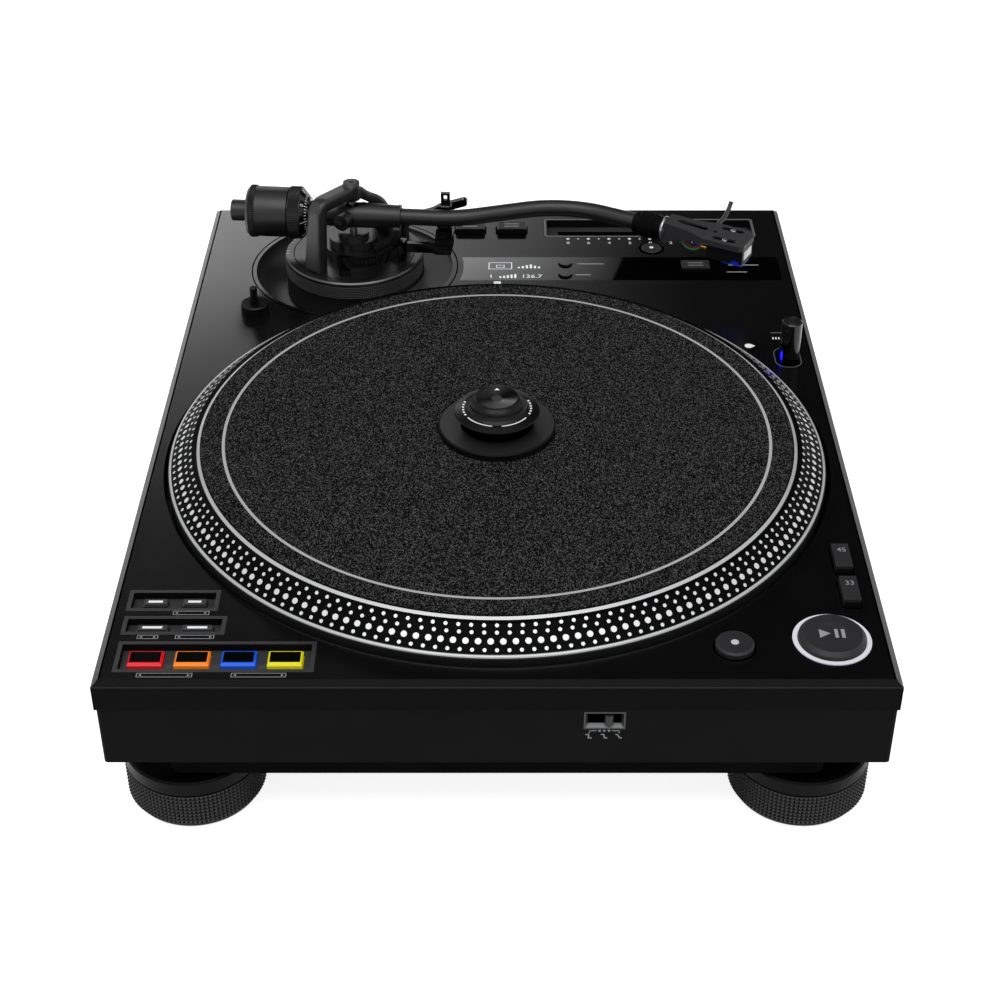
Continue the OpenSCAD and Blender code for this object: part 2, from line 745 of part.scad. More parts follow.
module lower_cabinet() {
    wall_x = cabinet_w - 2 * cabinet_wall;
    wall_y = cabinet_l - 2 * cabinet_wall;
    color("#141416") difference() {
        translate([0, 0, cabinet_z]) linear_extrude(cabinet_h) rrect([cabinet_w, cabinet_l], 2);
        translate([-wall_x / 2, -wall_y / 2, cabinet_z + cabinet_wall]) cube([wall_x, wall_y, cabinet_h]);
        translate([brake_x, -cabinet_l / 2, deck_z - brake_z]) rotate([90, 0, 0]) {
            linear_extrude(2 * brake_depth, center = true) square(brake_size, center = true);
            linear_extrude(4 * cabinet_wall, center = true)
                square([2 * brake_travel + brake_knob_w / 2 + 2 * fit, slide_stem[1] + 2 * fit], center = true);
        }
        translate([bay_x[0] - seat, cabinet_l / 2 - cabinet_wall - 1, bay_z - seat])
            cube([bay_x[1] - bay_x[0] + 2 * seat, cabinet_wall + 2, bay_h + 2 * seat]);
        for (at = screw_places())
            translate([at[0], at[1], cabinet_z - 1]) cylinder(r = screw_r + seat, h = cabinet_wall + 2);
    }
}

function screw_places() = [for (x = [-1, 1], y = [-1, 0, 1])
    [x * (body_w / 2 - base_inset_x - 12), y * (foot_y - 40)]];

module base_plate() {
    color("#0d0d0e") difference() {
        translate([0, 0, base_z]) linear_extrude(base_h) {
            rrect([body_w - 2 * base_inset_x, body_l - 2 * base_inset_y], 6);
            for (i = [0:3])
                translate(foot_at(i)) circle(r = foot_stud_r + 8);
        }
        for (i = [0:3])
            translate([foot_at(i)[0], foot_at(i)[1], base_z - 1]) cylinder(r = foot_stud_r + run, h = foot_stud_l + 2);
        for (at = screw_places()) {
            translate([at[0], at[1], base_z - 1]) cylinder(r = screw_r + seat, h = base_h + 2);
            translate([at[0], at[1], base_z - 1]) cylinder(r = screw_head_r + seat, h = screw_head_h + 2);
        }
    }
}

module base_screws() {
    color("silver") for (at = screw_places())
        translate([at[0], at[1], base_z + 1]) {
            cylinder(r = screw_head_r, h = screw_head_h);
            cylinder(r = screw_r, h = base_h + cabinet_wall - 1);
        }
}

module foot(i) {
    top = foot_h;
    color("#101012") translate(foot_at(i)) {
        rotate_extrude() difference() {
            polygon(concat([[0, 0], [foot_r - 5, 0]], arc([foot_r - 5, 4], 4, -90, -10, 8),
                [[foot_r - 0.4, top - foot_band_h - 1], [foot_r - 1.2, top - foot_band_h - 0.5],
                [foot_r, top - foot_band_h], [foot_r, top - 1], [foot_r - 1, top], [0, top]]));
            translate([foot_stud_r + 6, top - 9]) square([foot_r - foot_stud_r - 10, 10]);
        }
        translate([0, 0, top - 1]) cylinder(r = foot_stud_r, h = foot_gap + foot_stud_l + 1);
    }
}

// Trays, display and fixed trim

module control_trays() {
    color("#2a2a2c") {
        difference() {
            tray(pad_tray_at, pad_tray_size, tray_depth, 0.5);
            for (i = [0:3])
                tray_key_cut(pad_at(i), pad_size);
        }
        difference() {
            tray(mode_tray_at, mode_tray_size, tray_depth, 0.5);
            for (at = [hot_cue_at, sampler_at])
                tray_key_cut(at, mode_button_size);
        }
        difference() {
            tray(shift_tray_at, shift_tray_size, tray_depth, 0.5);
            for (at = [shift_at, doubles_at])
                tray_key_cut(at, shift_button_size);
        }
        difference() {
            tray(tempo_at, tempo_size, tempo_depth, tempo_corner);
            tray_key_cut(tempo_at, [2 * tempo_travel + slide_stem[0], slide_stem[1]]);
        }
    }
}

module display_window() {
    color("#050506") difference() {
        translate([0, 0, deck_z - window_t]) linear_extrude(window_t) difference() {
            window_outline(seat);
            translate(application_at) circle(r = round_r + fit);
            translate(deck_at) circle(r = round_r + fit);
        }
        on_deck(needle_at) key_hole(needle_size, 1);
    }
}

module start_ring() {
    color("lavender") on_deck(start_at) pipe(start_r + fit, start_ring_r, -2, 0.4);
}

module headshell_stand() {
    color("#111113") on_deck(stand_at) {
        cylinder(r = stand_r, h = stand_h - 0.6);
        translate([0, 0, stand_h - 0.6]) cylinder(r1 = stand_r, r2 = stand_r - 0.6, h = 0.6);
        translate([0, 0, -deck_t]) cylinder(r = stand_pin_r, h = deck_t + stand_h + stand_pin_l - 0.5);
        translate([0, 0, stand_h]) cylinder(r = stand_pin_r + 0.5, h = 1.5);
        translate([0, 0, stand_h + stand_pin_l - 0.5])
            cylinder(r1 = stand_pin_r, r2 = stand_pin_r - 0.5, h = 0.5);
    }
}

// Drive

module bearing_housing() {
    color("#b08d57") at_spindle() difference() {
        union() {
            translate([0, 0, bearing_bottom]) cylinder(r = bearing_r, h = bearing_l);
            translate([0, 0, -well_depth]) cylinder(r = bearing_flange_r, h = bearing_flange_t);
        }
        translate([0, 0, bearing_bottom + bearing_plug])
            cylinder(r = spindle_r + run, h = bearing_l + bearing_flange_t);
    }
}

module stator() {
    color("#9c5a2b") at_spindle(-well_depth) {
        pipe(bearing_flange_r + 1, rotor_r + 2, 0, stator_board_t);
        for (i = [0:coil_count - 1])
            rotate([0, 0, 360 / coil_count * i]) translate([coil_circle_r, 0, stator_board_t])
                pipe(coil_r * 0.4, coil_r, -0.3, coil_h);
    }
}

module circuit_boards() {
    color("darkgreen") {
        board(main_board_at, main_board, main_board_z);
        board(pad_board_at, pad_board, pad_board_z);
    }
}

module board(at, size, z) {
    floor_z = cabinet_z + cabinet_wall;
    translate([at[0], at[1], 0]) {
        translate([-size[0] / 2, -size[1] / 2, z]) cube([size[0], size[1], board_t]);
        for (x = [-1, 1], y = [-1, 1])
            translate([x * (size[0] / 2 - 6), y * (size[1] / 2 - 6), floor_z]) cylinder(r = 3, h = z - floor_z);
        translate([-size[0] / 4, -size[1] / 6, z + board_t]) cube([size[0] / 3, size[1] / 3, 2]);
    }
}

module platter() {
    web_z = platter_top_rise - platter_web;
    color("#c9cacc") at_spindle() rotate_extrude($fn = 128) polygon([
        [hub_r + seat, web_z], [hub_r + seat, platter_top_rise],
        [platter_top_r, platter_top_rise], [platter_r, platter_rim_rise],
        [platter_r, -platter_drop], [platter_r - platter_wall, -platter_drop],
        [platter_r - platter_wall, platter_rim_rise - 5], [platter_top_r - 4, web_z]]);
}

module rotor() {
    web_z = platter_top_rise - platter_web;
    color("#8a8c90") at_spindle() {
        translate([0, 0, bearing_bottom + bearing_plug + 0.1])
            cylinder(r = spindle_r, h = mat_z + spindle_rise - bearing_bottom - bearing_plug - 1.1);
        translate([0, 0, mat_z + spindle_rise - 1]) cylinder(r1 = spindle_r, r2 = spindle_r - 1, h = 1);
        translate([0, 0, -well_depth + bearing_flange_t + 1])
            cylinder(r = hub_r, h = platter_top_rise + well_depth - bearing_flange_t - 1);
        translate([0, 0, web_z - 3]) cylinder(r = hub_flange_r, h = 3);
        translate([0, 0, yoke_z]) cylinder(r = rotor_r, h = yoke_t);
        pipe(coil_circle_r - coil_r, rotor_r, yoke_z - magnet_t, yoke_z);
    }
}

module slipmat() {
    color("#19191b") at_spindle() pipe(clamp_bore, mat_r, platter_top_rise, mat_z);
}

module clamp_base() {
    boss = mat_z + clamp_flange_t + dial_h - 2;
    color("#0c0c0d") at_spindle() difference() {
        union() {
            translate([0, 0, mat_z]) cylinder(r = clamp_flange_r, h = clamp_flange_t - 0.6);
            translate([0, 0, mat_z + clamp_flange_t - 0.6])
                cylinder(r1 = clamp_flange_r, r2 = clamp_flange_r - 0.8, h = 0.6);
            translate([0, 0, mat_z]) cylinder(r = dial_boss_r, h = boss - mat_z);
        }
        translate([0, 0, mat_z - 1]) cylinder(r = clamp_bore, h = boss - mat_z + 2);
    }
}

module torque_dial() {
    drum_top = dial_z + dial_h;
    dome_top = drum_top + dome_h;
    color("#0a0a0b") at_spindle() rotate_extrude() polygon([
        [dial_boss_r + run, dial_z], [dial_foot_r, dial_z], [dial_foot_r + 0.3, drum_top - 3.4],
        [dial_lip_r, drum_top - 1.7], [dial_lip_r - 0.3, drum_top - 1],
        [dome_r + 4.3, drum_top], [dome_r + 3, drum_top],
        [dome_r + 1.4, drum_top + 1.1], [dome_r + 0.4, drum_top + 2.4], [dome_r, drum_top + 3.8],
        [dome_r - 0.5, drum_top + 4.5], [dial_cap_r + 0.9, dome_top - 0.9],
        [dial_cap_r + 0.7, dome_top - 0.3], [dial_cap_r + 0.2, dome_top], [dial_cap_r - 0.2, dome_top - 0.4],
        [dial_cap_r / 4, dome_top - 1.3], [0, dome_top - 1.3],
        [0, dome_top - 4], [dial_boss_r + run, dome_top - 4.6]]);
}

// Sliders and lamp

module tempo_knob() {
    color("#222224") on_deck(tempo_at) {
        slab(slide_stem, 0.5, -tempo_under - fit - slide_shoe[2], -tempo_depth + fit);
        slab([slide_shoe[0], slide_shoe[1]], 0.5, -tempo_under - fit - slide_shoe[2], -tempo_under - fit);
        difference() {
            slab(tempo_cap, 1.5, -tempo_depth + fit, tempo_rise);
            translate([0, 0, tempo_rise + 22]) rotate([90, 0, 0])
                cylinder(r = 23, h = tempo_cap[1] + 2, center = true);
        }
        translate([0, 0, tempo_rise - 1]) cube([1, tempo_cap[1], 1.2], center = true);
    }
}

module brake_knob() {
    color("#3a3a3c")
        translate([brake_x + brake_offset, -cabinet_l / 2 + brake_depth - fit, deck_z - brake_z])
        rotate([90, 0, 0]) {
            difference() {
                translate([0, 0, brake_depth - fit + 0.6 - brake_knob_w / 2]) rotate([90, 0, 0])
                    cylinder(r = brake_knob_w / 2, h = brake_knob_h, center = true);
                translate([0, 0, -brake_knob_w]) cube(2 * [brake_knob_w, brake_knob_h, brake_knob_w], center = true);
            }
            translate([0, 0, -cabinet_wall + brake_depth - fit - 2])
                linear_extrude(cabinet_wall - brake_depth + fit + 2.5)
                square([brake_knob_w / 2, slide_stem[1]], center = true);
            translate([0, 0, -cabinet_wall + brake_depth - 2 * fit - 2])
                linear_extrude(2) square([brake_knob_w, slide_shoe[1]], center = true);
        }
}

module target_lamp() {
    color("#08080a") on_deck(lamp_at) difference() {
        union() {
            translate([0, 0, -lamp_root]) cylinder(r = lamp_r, h = lamp_root + lamp_rise - 0.5);
            translate([0, 0, lamp_rise - 0.5]) cylinder(r1 = lamp_r, r2 = lamp_r - 0.5, h = 0.5);
            translate([0, 0, -lamp_root - 5]) cylinder(r = lamp_r - 1, h = 6);
        }
        rotate([0, 0, 20]) translate([-lamp_r - 1, -1.6, -1]) cube([2.2, 3.2, 7]);
    }
}

// Push buttons

module start_button() {
    color("#161618") on_deck(start_at) difference() {
        round_key(start_r, start_rise, deck_t, start_bevel);
        translate([0, 0, start_rise + 60 - 0.5]) sphere(r = 60, $fn = 128);
    }
}

module motor_off_button() {
    color("#161618") on_deck(motor_off_at) round_key(motor_off_r, motor_off_rise, deck_t, 0.8);
}

module speed_button(at) {
    color("#1d1d1f") on_deck(at) difference() {
        key(speed_size, 0.8, speed_rise, deck_t);
        for (y = [-1, 1])
            translate([0, y * speed_size[1] / 2, speed_rise]) rotate([45, 0, 0])
                cube([speed_size[0] + 1, 1.2, 1.2], center = true);
    }
}

module reset_button() {
    color("#2c2c2e") on_deck(reset_at) round_key(reset_r, 0.8, deck_t, 0.4);
}

module pitch_button(at) {
    color("#1d1d1f") on_deck(at) difference() {
        key(pitch_size, 0.8, pitch_rise, deck_t);
        for (x = [-1, 1])
            translate([x * pitch_size[0] / 2, 0, pitch_rise]) rotate([0, 45, 0])
                cube([1.2, pitch_size[1] + 1, 1.2], center = true);
    }
}

module needle_mode_button() {
    color("#1d1d1f") on_deck(needle_at) key(needle_size, 0.8, round_rise, window_t);
}

module display_button(at) {
    color("#1d1d1f") on_deck(at) round_key(round_r, round_rise, window_t, 0.4);
}

module tray_button(at, size) {
    color("#3a3a3c") on_deck(at) {
        key(size, 0.4, -tray_button_sink - 0.7, tray_under);
        slab([size[0] - 1, size[1] - 1], 0.4, -tray_button_sink - 0.7, -tray_button_sink);
    }
}

module pad(i) {
    color(pad_colours[i]) on_deck(pad_at(i)) {
        key(pad_size, 0.4, -tray_button_sink - 1, tray_under);
        slab([pad_size[0] - 2 * pad_skirt, pad_size[1] - 2 * pad_skirt], 0.4, -tray_button_sink - 1, -tray_button_sink);
    }
}

// Arm base

module arm_base() {
    color("#131315") at_pivot() difference() {
        union() {
            translate([0, 0, base_under]) cylinder(r = disc_r, h = ring_rise - base_under);
            translate([0, 0, base_under - guide_l]) cylinder(r = guide_r, h = guide_l + 1);
            translate([0, 0, ring_rise]) {
                cylinder(r = tower_r, h = tower_steps[0]);
                cylinder(r = tower_r - 2.5, h = tower_steps[1]);
                cylinder(r = tower_r - 8, h = tower_steps[2]);
            }
            rotate([0, 0, -arm_yaw]) {
                translate([lifter_post_at[0], lifter_post_at[1], ring_rise - 1])
                    cylinder(r = lifter_post_r + 2.5, h = lifter_z - rod_r - lifter_travel - ring_rise);
                cue_clevis();
            }
        }
        translate([0, 0, upright_bottom]) cylinder(r = upright_r + run, h = tower_rise);
        rotate([0, 0, -arm_yaw]) translate([lifter_post_at[0], lifter_post_at[1], ring_rise - lifter_travel - 4])
            cylinder(r = lifter_post_r + run, h = lifter_z);
        translate([skate_at[0], skate_at[1], ring_rise - 6]) cylinder(r = 2 + run, h = 8);
    }
}

module cue_clevis() {
    outer = cue_gap + 2 * cue_ear_t;
    translate([cue_at[0], cue_at[1], 0]) {
        translate([0, 0, ring_rise - 1]) cylinder(r = 3.4, h = cue_rise - ring_rise - 2.6);
        difference() {
            translate([-2.4, -outer / 2, cue_rise - 4]) cube([4.8, outer, 6.4]);
            translate([-3, -cue_gap / 2, cue_rise - 3.4]) cube([6, cue_gap, 8]);
            translate([0, 0, cue_rise]) rotate([90, 0, 0])
                cylinder(r = cue_pin_r + run, h = outer + 2, center = true);
        }
    }
}

module height_ring() {
    color("#1a1a1c") at_pivot() rotate_extrude() polygon([
        [ring_r - ring_wall, base_under], [ring_r, base_under], [ring_r, ring_rise - 0.8],
        [ring_r - 0.8, ring_rise], [ring_r - ring_wall, ring_rise]]);
}

// One bent slab in the plane of both legs: s runs out along the near leg.
module arch_profile() {
    bend_at = [near_leg - leg_lean - arch_bend, arch_top - arch_bend];
    far_at = [-far_leg + far_bend, arch_top - far_bend - 7];
    polygon(concat(
        [[near_leg, ring_rise]],
        arc(bend_at, arch_bend, 0, 90, 10),
        [[0, arch_top], [-cap_r, arch_top - 2]],
        arc(far_at, far_bend, 110, 180, 10),
        [[-far_leg, ring_rise], [-far_leg + far_t, ring_rise]],
        arc(far_at, far_bend - far_t, 180, 110, 10),
        [[-4, arch_top - leg_t - 1], [0, arch_top - leg_t]],
        arc(bend_at, arch_bend - leg_t, 90, 0, 10),
        [[near_leg - leg_t, ring_rise]]));
}

// Both legs narrow from their feet to the top.
module arch_taper() {
    polygon([[-arch_w / 2, ring_rise - 1], [arch_w / 2, ring_rise - 1], [arch_top_w / 2, arch_top - 6],
        [arch_top_w / 2, arch_top + 1], [-arch_top_w / 2, arch_top + 1], [-arch_top_w / 2, arch_top - 6]]);
}

module arm_arch() {
    color("#111113") at_pivot() difference() {
        union() {
            rotate([0, 0, arch_heading]) intersection() {
                rotate([90, 0, 0]) linear_extrude(arch_w + 2, center = true) arch_profile();
                rotate([90, 0, 90]) linear_extrude(4 * near_leg, center = true) arch_taper();
            }
            translate([0, 0, cap_under]) cylinder(r = cap_r, h = cap_rise - cap_under);
        }
        translate([0, 0, cap_under - 1]) cylinder(r = upright_r + run, h = cap_rise - cap_under - 1);
        pipe(cap_r - 1.4, cap_r - 0.9, cap_rise - 0.5, cap_rise + 1);
        translate([0, 0, cap_rise - 1]) cylinder(r = 1.6, h = 2, $fn = 6);
    }
}

// Tonearm

module gimbal() {
    color("silver") {
        at_pivot(upright_bottom + 0.2) cylinder(r = upright_r, h = cap_rise - 4 - upright_bottom);
        at_tilt() cylinder(r = cross_r, h = 2 * boss_reach - 1, center = true);
    }
}

module arm_housing() {
    neck = weight_front - force_dial_l - 0.4;
    color("#202022") difference() {
        union() {
            at_arm() rotate([0, 90, 0]) rotate_extrude() polygon([
                [0, -shaft_reach], [shaft_r - 0.5, -shaft_reach], [shaft_r, -shaft_reach + 0.5],
                [shaft_r, -neck], [shaft_r + 1, -neck], [shaft_r + 1, -housing_rear - 5],
                [shaft_r, -housing_rear - 5], [shaft_r, -housing_rear], [housing_r - 0.6, -housing_rear],
                [housing_r, -housing_rear / 2], [housing_r, housing_front / 3],
                [housing_r - 0.9, housing_front - 1.5], [housing_r - 0.5, housing_front - 1.5],
                [housing_r - 0.5, housing_front], [0, housing_front]]);
            at_tilt() cylinder(r = boss_r, h = boss_reach);
            at_tilt() translate([0, 0, boss_reach]) cylinder(r = 1.9, h = 3.5);
            at_tilt() translate([0, 0, -boss_reach]) cylinder(r1 = 2.6, r2 = boss_r, h = boss_reach);
        }
        at_tilt() cylinder(r = cross_r + run, h = 2 * boss_reach - 0.6, center = true);
        at_arm() cylinder(r = upright_r + 1.4, h = 4 * housing_r, center = true);
    }
}

// Round bar bent in the plane of the arm: r is the bend's radius and a its sweep, to the left if positive.
module bend(r, a) {
    side = sign(a);
    translate([0, side * r, 0]) rotate([0, 0, side > 0 ? -90 : 90 + a])
        rotate_extrude(angle = abs(a)) translate([r, 0]) circle(r = tube_r + bend_swell);
}

module after_bend(r, a) {
    side = sign(a);
    translate([r * sin(abs(a)), side * r * (1 - cos(a)), 0]) rotate([0, 0, a]) children();
}

module arm_tube() {
    color("#2a2a2c") {
        at_arm() {
            along_x(housing_front, tube_run + bend_lap, tube_r);
            translate([tube_run, 0, 0]) {
                bend(bend_r1, bend_a1);
                after_bend(bend_r1, bend_a1) {
                    along_x(-bend_lap, bend_run + bend_lap, tube_r);
                    translate([bend_run, 0, 0]) bend(bend_r2, -bend_a1 - head_a);
                }
            }
        }
        at_head() along_x(-tube_tail - bend_lap, plug_l, tube_r);
    }
}

module headshell_collar() {
    color("#1a1a1c") at_head() rotate([0, 90, 0]) rotate_extrude() polygon([
        [tube_r + run, collar_from], [collar_r - 1.2, collar_from], [collar_r - 0.4, collar_from + 1.5],
        [collar_r - 0.4, collar_from + 3.5], [collar_r, collar_from + 4], [collar_r, collar_l - 4],
        [collar_r - 0.6, collar_l - 3.6],
        [collar_r - 0.6, collar_l], [tube_r + run, collar_l]]);
}

module slot(x0, x1, y, w) {
    translate([0, y, -10]) linear_extrude(20) {
        translate([x0, -w / 2]) square([x1 - x0, w]);
        for (x = [x0, x1])
            translate([x, 0]) circle(r = w / 2);
    }
}

// The shell from above: a neck that widens to the plate, with clipped front corners.
module shell_plan() {
    polygon([
        [shell_start + 2, shell_neck_w], [shell_waist, shell_neck_w + 1], [shell_shoulder, shell_half_w],
        [shell_end - 4, shell_half_w], [shell_end, shell_half_w - 5], [shell_end, -shell_half_w + 2],
        [shell_end - 2, -shell_half_w], [shell_shoulder, -shell_half_w], [shell_waist, -shell_neck_w - 1],
        [shell_start + 2, -shell_neck_w]]);
}

// The shell from the side: a wedge that thins from the neck to the plate.
module shell_side() {
    polygon([
        [shell_start + 1, -5.6], [shell_start + 4, -5.6], [shell_start + 9, shell_under - 4.6],
        [shell_shoulder, shell_under], [shell_end + 1, shell_under], [shell_end + 1, shell_under + shell_t],
        [shell_shoulder, shell_under + shell_t], [shell_start + 1, collar_r - 0.4]]);
}

module headshell() {
    color("#19191b") at_head() {
        along_x(plug_l, shell_start + 1, tube_r);
        along_x(shell_start, shell_start + 3, collar_r - 0.2);
        difference() {
            intersection() {
                translate([0, 0, -10]) linear_extrude(20) shell_plan();
                rotate([90, 0, 0]) linear_extrude(3 * shell_half_w, center = true) shell_side();
            }
            slot(shell_start + 10, shell_shoulder - 4, 1, 3.6);
            for (y = [-6, 7])
                slot(shell_shoulder + 5.5, shell_end - 8, y, 3.4);
            translate([shell_shoulder + 2.5, 0.6, -10]) cylinder(r = 1.5, h = 20);
        }
        translate([shell_start + 9, -6, shell_under - 6.5]) cube([3.6, 12, 3]);
        finger_lift(shell_shoulder - 1);
    }
}

// A curved finger bar that leaves the far edge of the plate and sweeps up and forward.
module finger_lift(x) {
    bow_r = 16;
    translate([x, shell_half_w - 1, shell_under + shell_t / 2]) rotate([0, 0, -2]) {
        rotate([-90, 0, 0]) cylinder(r = 1.3, h = 7);
        translate([0, 7, bow_r]) rotate([90, 0, 90]) rotate([0, 0, -90])
            rotate_extrude(angle = 55) translate([bow_r, 0]) circle(r = 1.3);
    }
}

module cartridge() {
    l = cartridge_size[0];
    w = cartridge_size[1];
    h = cartridge_size[2];
    color("#0a0a0b") at_head() {
        translate([cartridge_back, -w / 2, cartridge_under]) difference() {
            cube([l, w, h]);
            translate([l, -1, 0]) rotate([0, 35, 0]) translate([-6, 0, -8]) cube([12, w + 2, 8]);
            translate([0, -1, 0]) rotate([0, -25, 0]) translate([-12, 0, -8]) cube([12, w + 2, 8]);
        }
        for (y = lead_ys)
            translate([0, y, lead_z - 0.5]) along_x(cartridge_back - pin_l, cartridge_back + 1, 0.6);
    }
}

module stylus() {
    guard = 8;
    color("#1430b0") at_head() translate([stylus_reach, 0, cartridge_under]) {
        translate([-guard - 2, -5, -stylus_drop + 1.5]) cube([guard + 4, 10, stylus_drop - 1.5]);
        translate([0, 0, -stylus_drop]) cylinder(r1 = 0.15, r2 = 0.8, h = 1.6);
    }
}

module cartridge_leads() {
    half = (lead_to - lead_from) / 2;
    r = half / sin(lead_sweep / 2);
    color("firebrick") at_head() for (y = lead_ys)
        translate([lead_from + half, y, lead_z + r * cos(lead_sweep / 2)]) rotate([90, 0, 0])
            rotate([0, 0, -90 - lead_sweep / 2]) rotate_extrude(angle = lead_sweep)
                translate([r, 0]) circle(r = lead_r);
}

module counterweight() {
    back = -weight_front - weight_l;
    color("#1c1c1e") at_arm() rotate([0, 90, 0]) rotate_extrude() polygon([
        [shaft_r + run, back], [weight_r - 1.6, back], [weight_r, back + 1.6], [weight_r, back + 5],
        [weight_r - 0.4, back + 5.3], [weight_r - 0.4, -weight_front - 0.6], [weight_r - 1, -weight_front],
        [shaft_r + run, -weight_front]]);
}

module tracking_dial() {
    color("#0c0c0d") at_arm() rotate([0, 90, 0]) rotate_extrude() polygon([
        [shaft_r + run, -dial_back], [weight_r, -dial_back], [weight_r, -dial_back + force_rim_l],
        [shaft_r + 3, -dial_back + force_dial_l - 0.2], [shaft_r + run, -dial_back + force_dial_l - 0.2]]);
}

module anti_skate_dial() {
    color("#141416") at_pivot(ring_rise) translate([skate_at[0], skate_at[1], 0]) {
        translate([0, 0, fit]) cylinder(r = skate_r, h = skate_h - 0.8);
        translate([0, 0, fit + skate_h - 0.8]) cylinder(r1 = skate_r, r2 = skate_r - 0.8, h = 0.8);
        translate([0, 0, -5]) cylinder(r = 2, h = 6);
    }
}

// Lifter, cue lever, rest and clip

module lifter_bar() {
    color("#18181a") at_rest(lifter_z) {
        sector(lifter_r - rod_r, lifter_r + rod_r, lifter_ends[1], lifter_ends[0] + 4, -rod_r, rod_r);
        translate([lifter_post_at[0], lifter_post_at[1], ring_rise - lifter_z - 3])
            cylinder(r = lifter_post_r, h = lifter_z - ring_rise + 3);
    }
}

module cue_lever() {
    color("#121214") at_rest(cue_rise) translate([cue_at[0], cue_at[1], 0]) {
        rotate([90, 0, 0]) cylinder(r = 2.6, h = cue_gap - 2 * fit, center = true);
        rotate([90, 0, 0]) cylinder(r = cue_pin_r, h = cue_gap + 2 * cue_ear_t, center = true);
        rotate([90, 0, 0]) linear_extrude(cue_gap - 2 * fit, center = true) rotate(cue_slope) {
            polygon([[0, -1.4], [cue_l * 0.45, -1.2], [cue_l * 0.55, -2.3], [cue_l - 2.3, -2.3],
                [cue_l - 2.3, 2.3], [cue_l * 0.6, 2.3], [cue_l * 0.45, 1.2], [0, 1.4]]);
            translate([cue_l - 2.3, 0]) circle(r = 2.3);
        }
    }
}

module arm_rest() {
    x0 = rest_reach - rest_w / 2;
    bar_from = (bracket_r + bracket_t / 2) * cos(bracket_ends[1]);
    wall_t = 2.4;
    color("#131315") at_rest() {
        sector(bracket_r, bracket_r + bracket_t, bracket_ends[0], bracket_ends[1], bracket_z[0], bracket_z[1]);
        for (a = [bracket_ends[0], bracket_ends[1] - 14])
            sector(bracket_r + 0.4, bracket_r + bracket_t - 0.4, a + 1, a + 13, ring_rise, bracket_z[0] + 0.5);
        translate([bar_from, bar_side - bar_t / 2, bar_z[0]]) cube([rest_reach - bar_from, bar_t, bar_z[1] - bar_z[0]]);
        difference() {
            union() {
                translate([x0 - 1, bar_side - 3, bar_z[0] - 0.1])
                    cube([rest_w + 2, cradle_back + wall_t - bar_side + 3, block_h]);
                translate([x0, -tube_r, bar_z[0] + block_h - 1])
                    cube([rest_w, cradle_back + wall_t + tube_r, cradle_z - bar_z[0] - block_h + 1]);
                translate([x0, cradle_back, cradle_z - 1]) cube([rest_w, wall_t, clip_axis[1] - cradle_z - 1.6]);
                translate([x0, -tube_r - 2, cradle_z - 3]) cube([rest_w, 2.5, 3.4]);
            }
            translate([rest_reach, 0, arm_rise]) rotate([0, 90, 0])
                cylinder(r = cradle_back + 0.4, h = rest_w + 2, center = true);
        }
        for (x = [x0, x0 + rest_w - 1])
            translate([x, 0, 0]) clip_ear();
    }
}

module clip_ear() {
    difference() {
        translate([0, clip_axis[0] - 2, clip_axis[1] - 4]) cube([1, 3.8, 5.6]);
        translate([-1, clip_axis[0], clip_axis[1]]) rotate([0, 90, 0]) cylinder(r = 0.8 + run, h = 3);
    }
}

module arm_clip() {
    side = clip_axis[0] + clip_lift;
    color("#161618") at_rest() {
        translate([rest_reach, clip_axis[0], clip_axis[1]]) rotate([0, 90, 0]) {
            cylinder(r = 1.5, h = clip_w - 2 * fit, center = true);
            cylinder(r = 0.8, h = rest_w, center = true);
        }
        translate([rest_reach - clip_w / 2 + fit, side - 3, clip_axis[1] - 0.8])
            cube([clip_w - 2 * fit, 3 + clip_t, 2.3]);
        difference() {
            translate([rest_reach - clip_w / 2 + fit, side, clip_axis[1]])
                cube([clip_w - 2 * fit, clip_t, clip_rise - clip_axis[1]]);
            translate([rest_reach - 1, side - 1, clip_rise - 4.4]) cube([2, clip_t + 2, 3]);
        }
    }
}

// Rear sockets

module rear_sockets() {
    bay_w = bay_x[1] - bay_x[0];
    mid_z = bay_z + bay_h / 2;
    face = bay_back;
    color("#1c1c1e") {
        difference() {
            translate([bay_x[0], face - bay_wall, bay_z]) cube([bay_w, bay_depth + bay_wall, bay_h]);
            translate([bay_x[0] + bay_wall, face, bay_z + bay_wall])
                cube([bay_w - 2 * bay_wall, bay_depth + 1, bay_h - 2 * bay_wall]);
        }
        for (x = jack_xs)
            translate([x, face, mid_z]) rotate([-90, 0, 0]) pipe(1.7, jack_r, 0, jack_l);
        translate([earth_x, face, mid_z]) rotate([-90, 0, 0]) {
            cylinder(r = 1.6, h = 9);
            translate([0, 0, 2]) cylinder(r = 4, h = 5);
        }
        socket_shroud(data_x, data_size, 7);
        socket_shroud(inlet_x, inlet_size, shroud_l);
        for (x = [-1, 1])
            translate([inlet_x + x * 4.3, face, mid_z]) rotate([-90, 0, 0]) cylinder(r = 1.2, h = shroud_l - 2);
    }
}

module socket_shroud(x, size, l) {
    translate([x, bay_back, bay_z + bay_h / 2]) rotate([-90, 0, 0]) linear_extrude(l) difference() {
        square([size[0] + 4, size[1] + 4], center = true);
        square(size, center = true);
    }
}

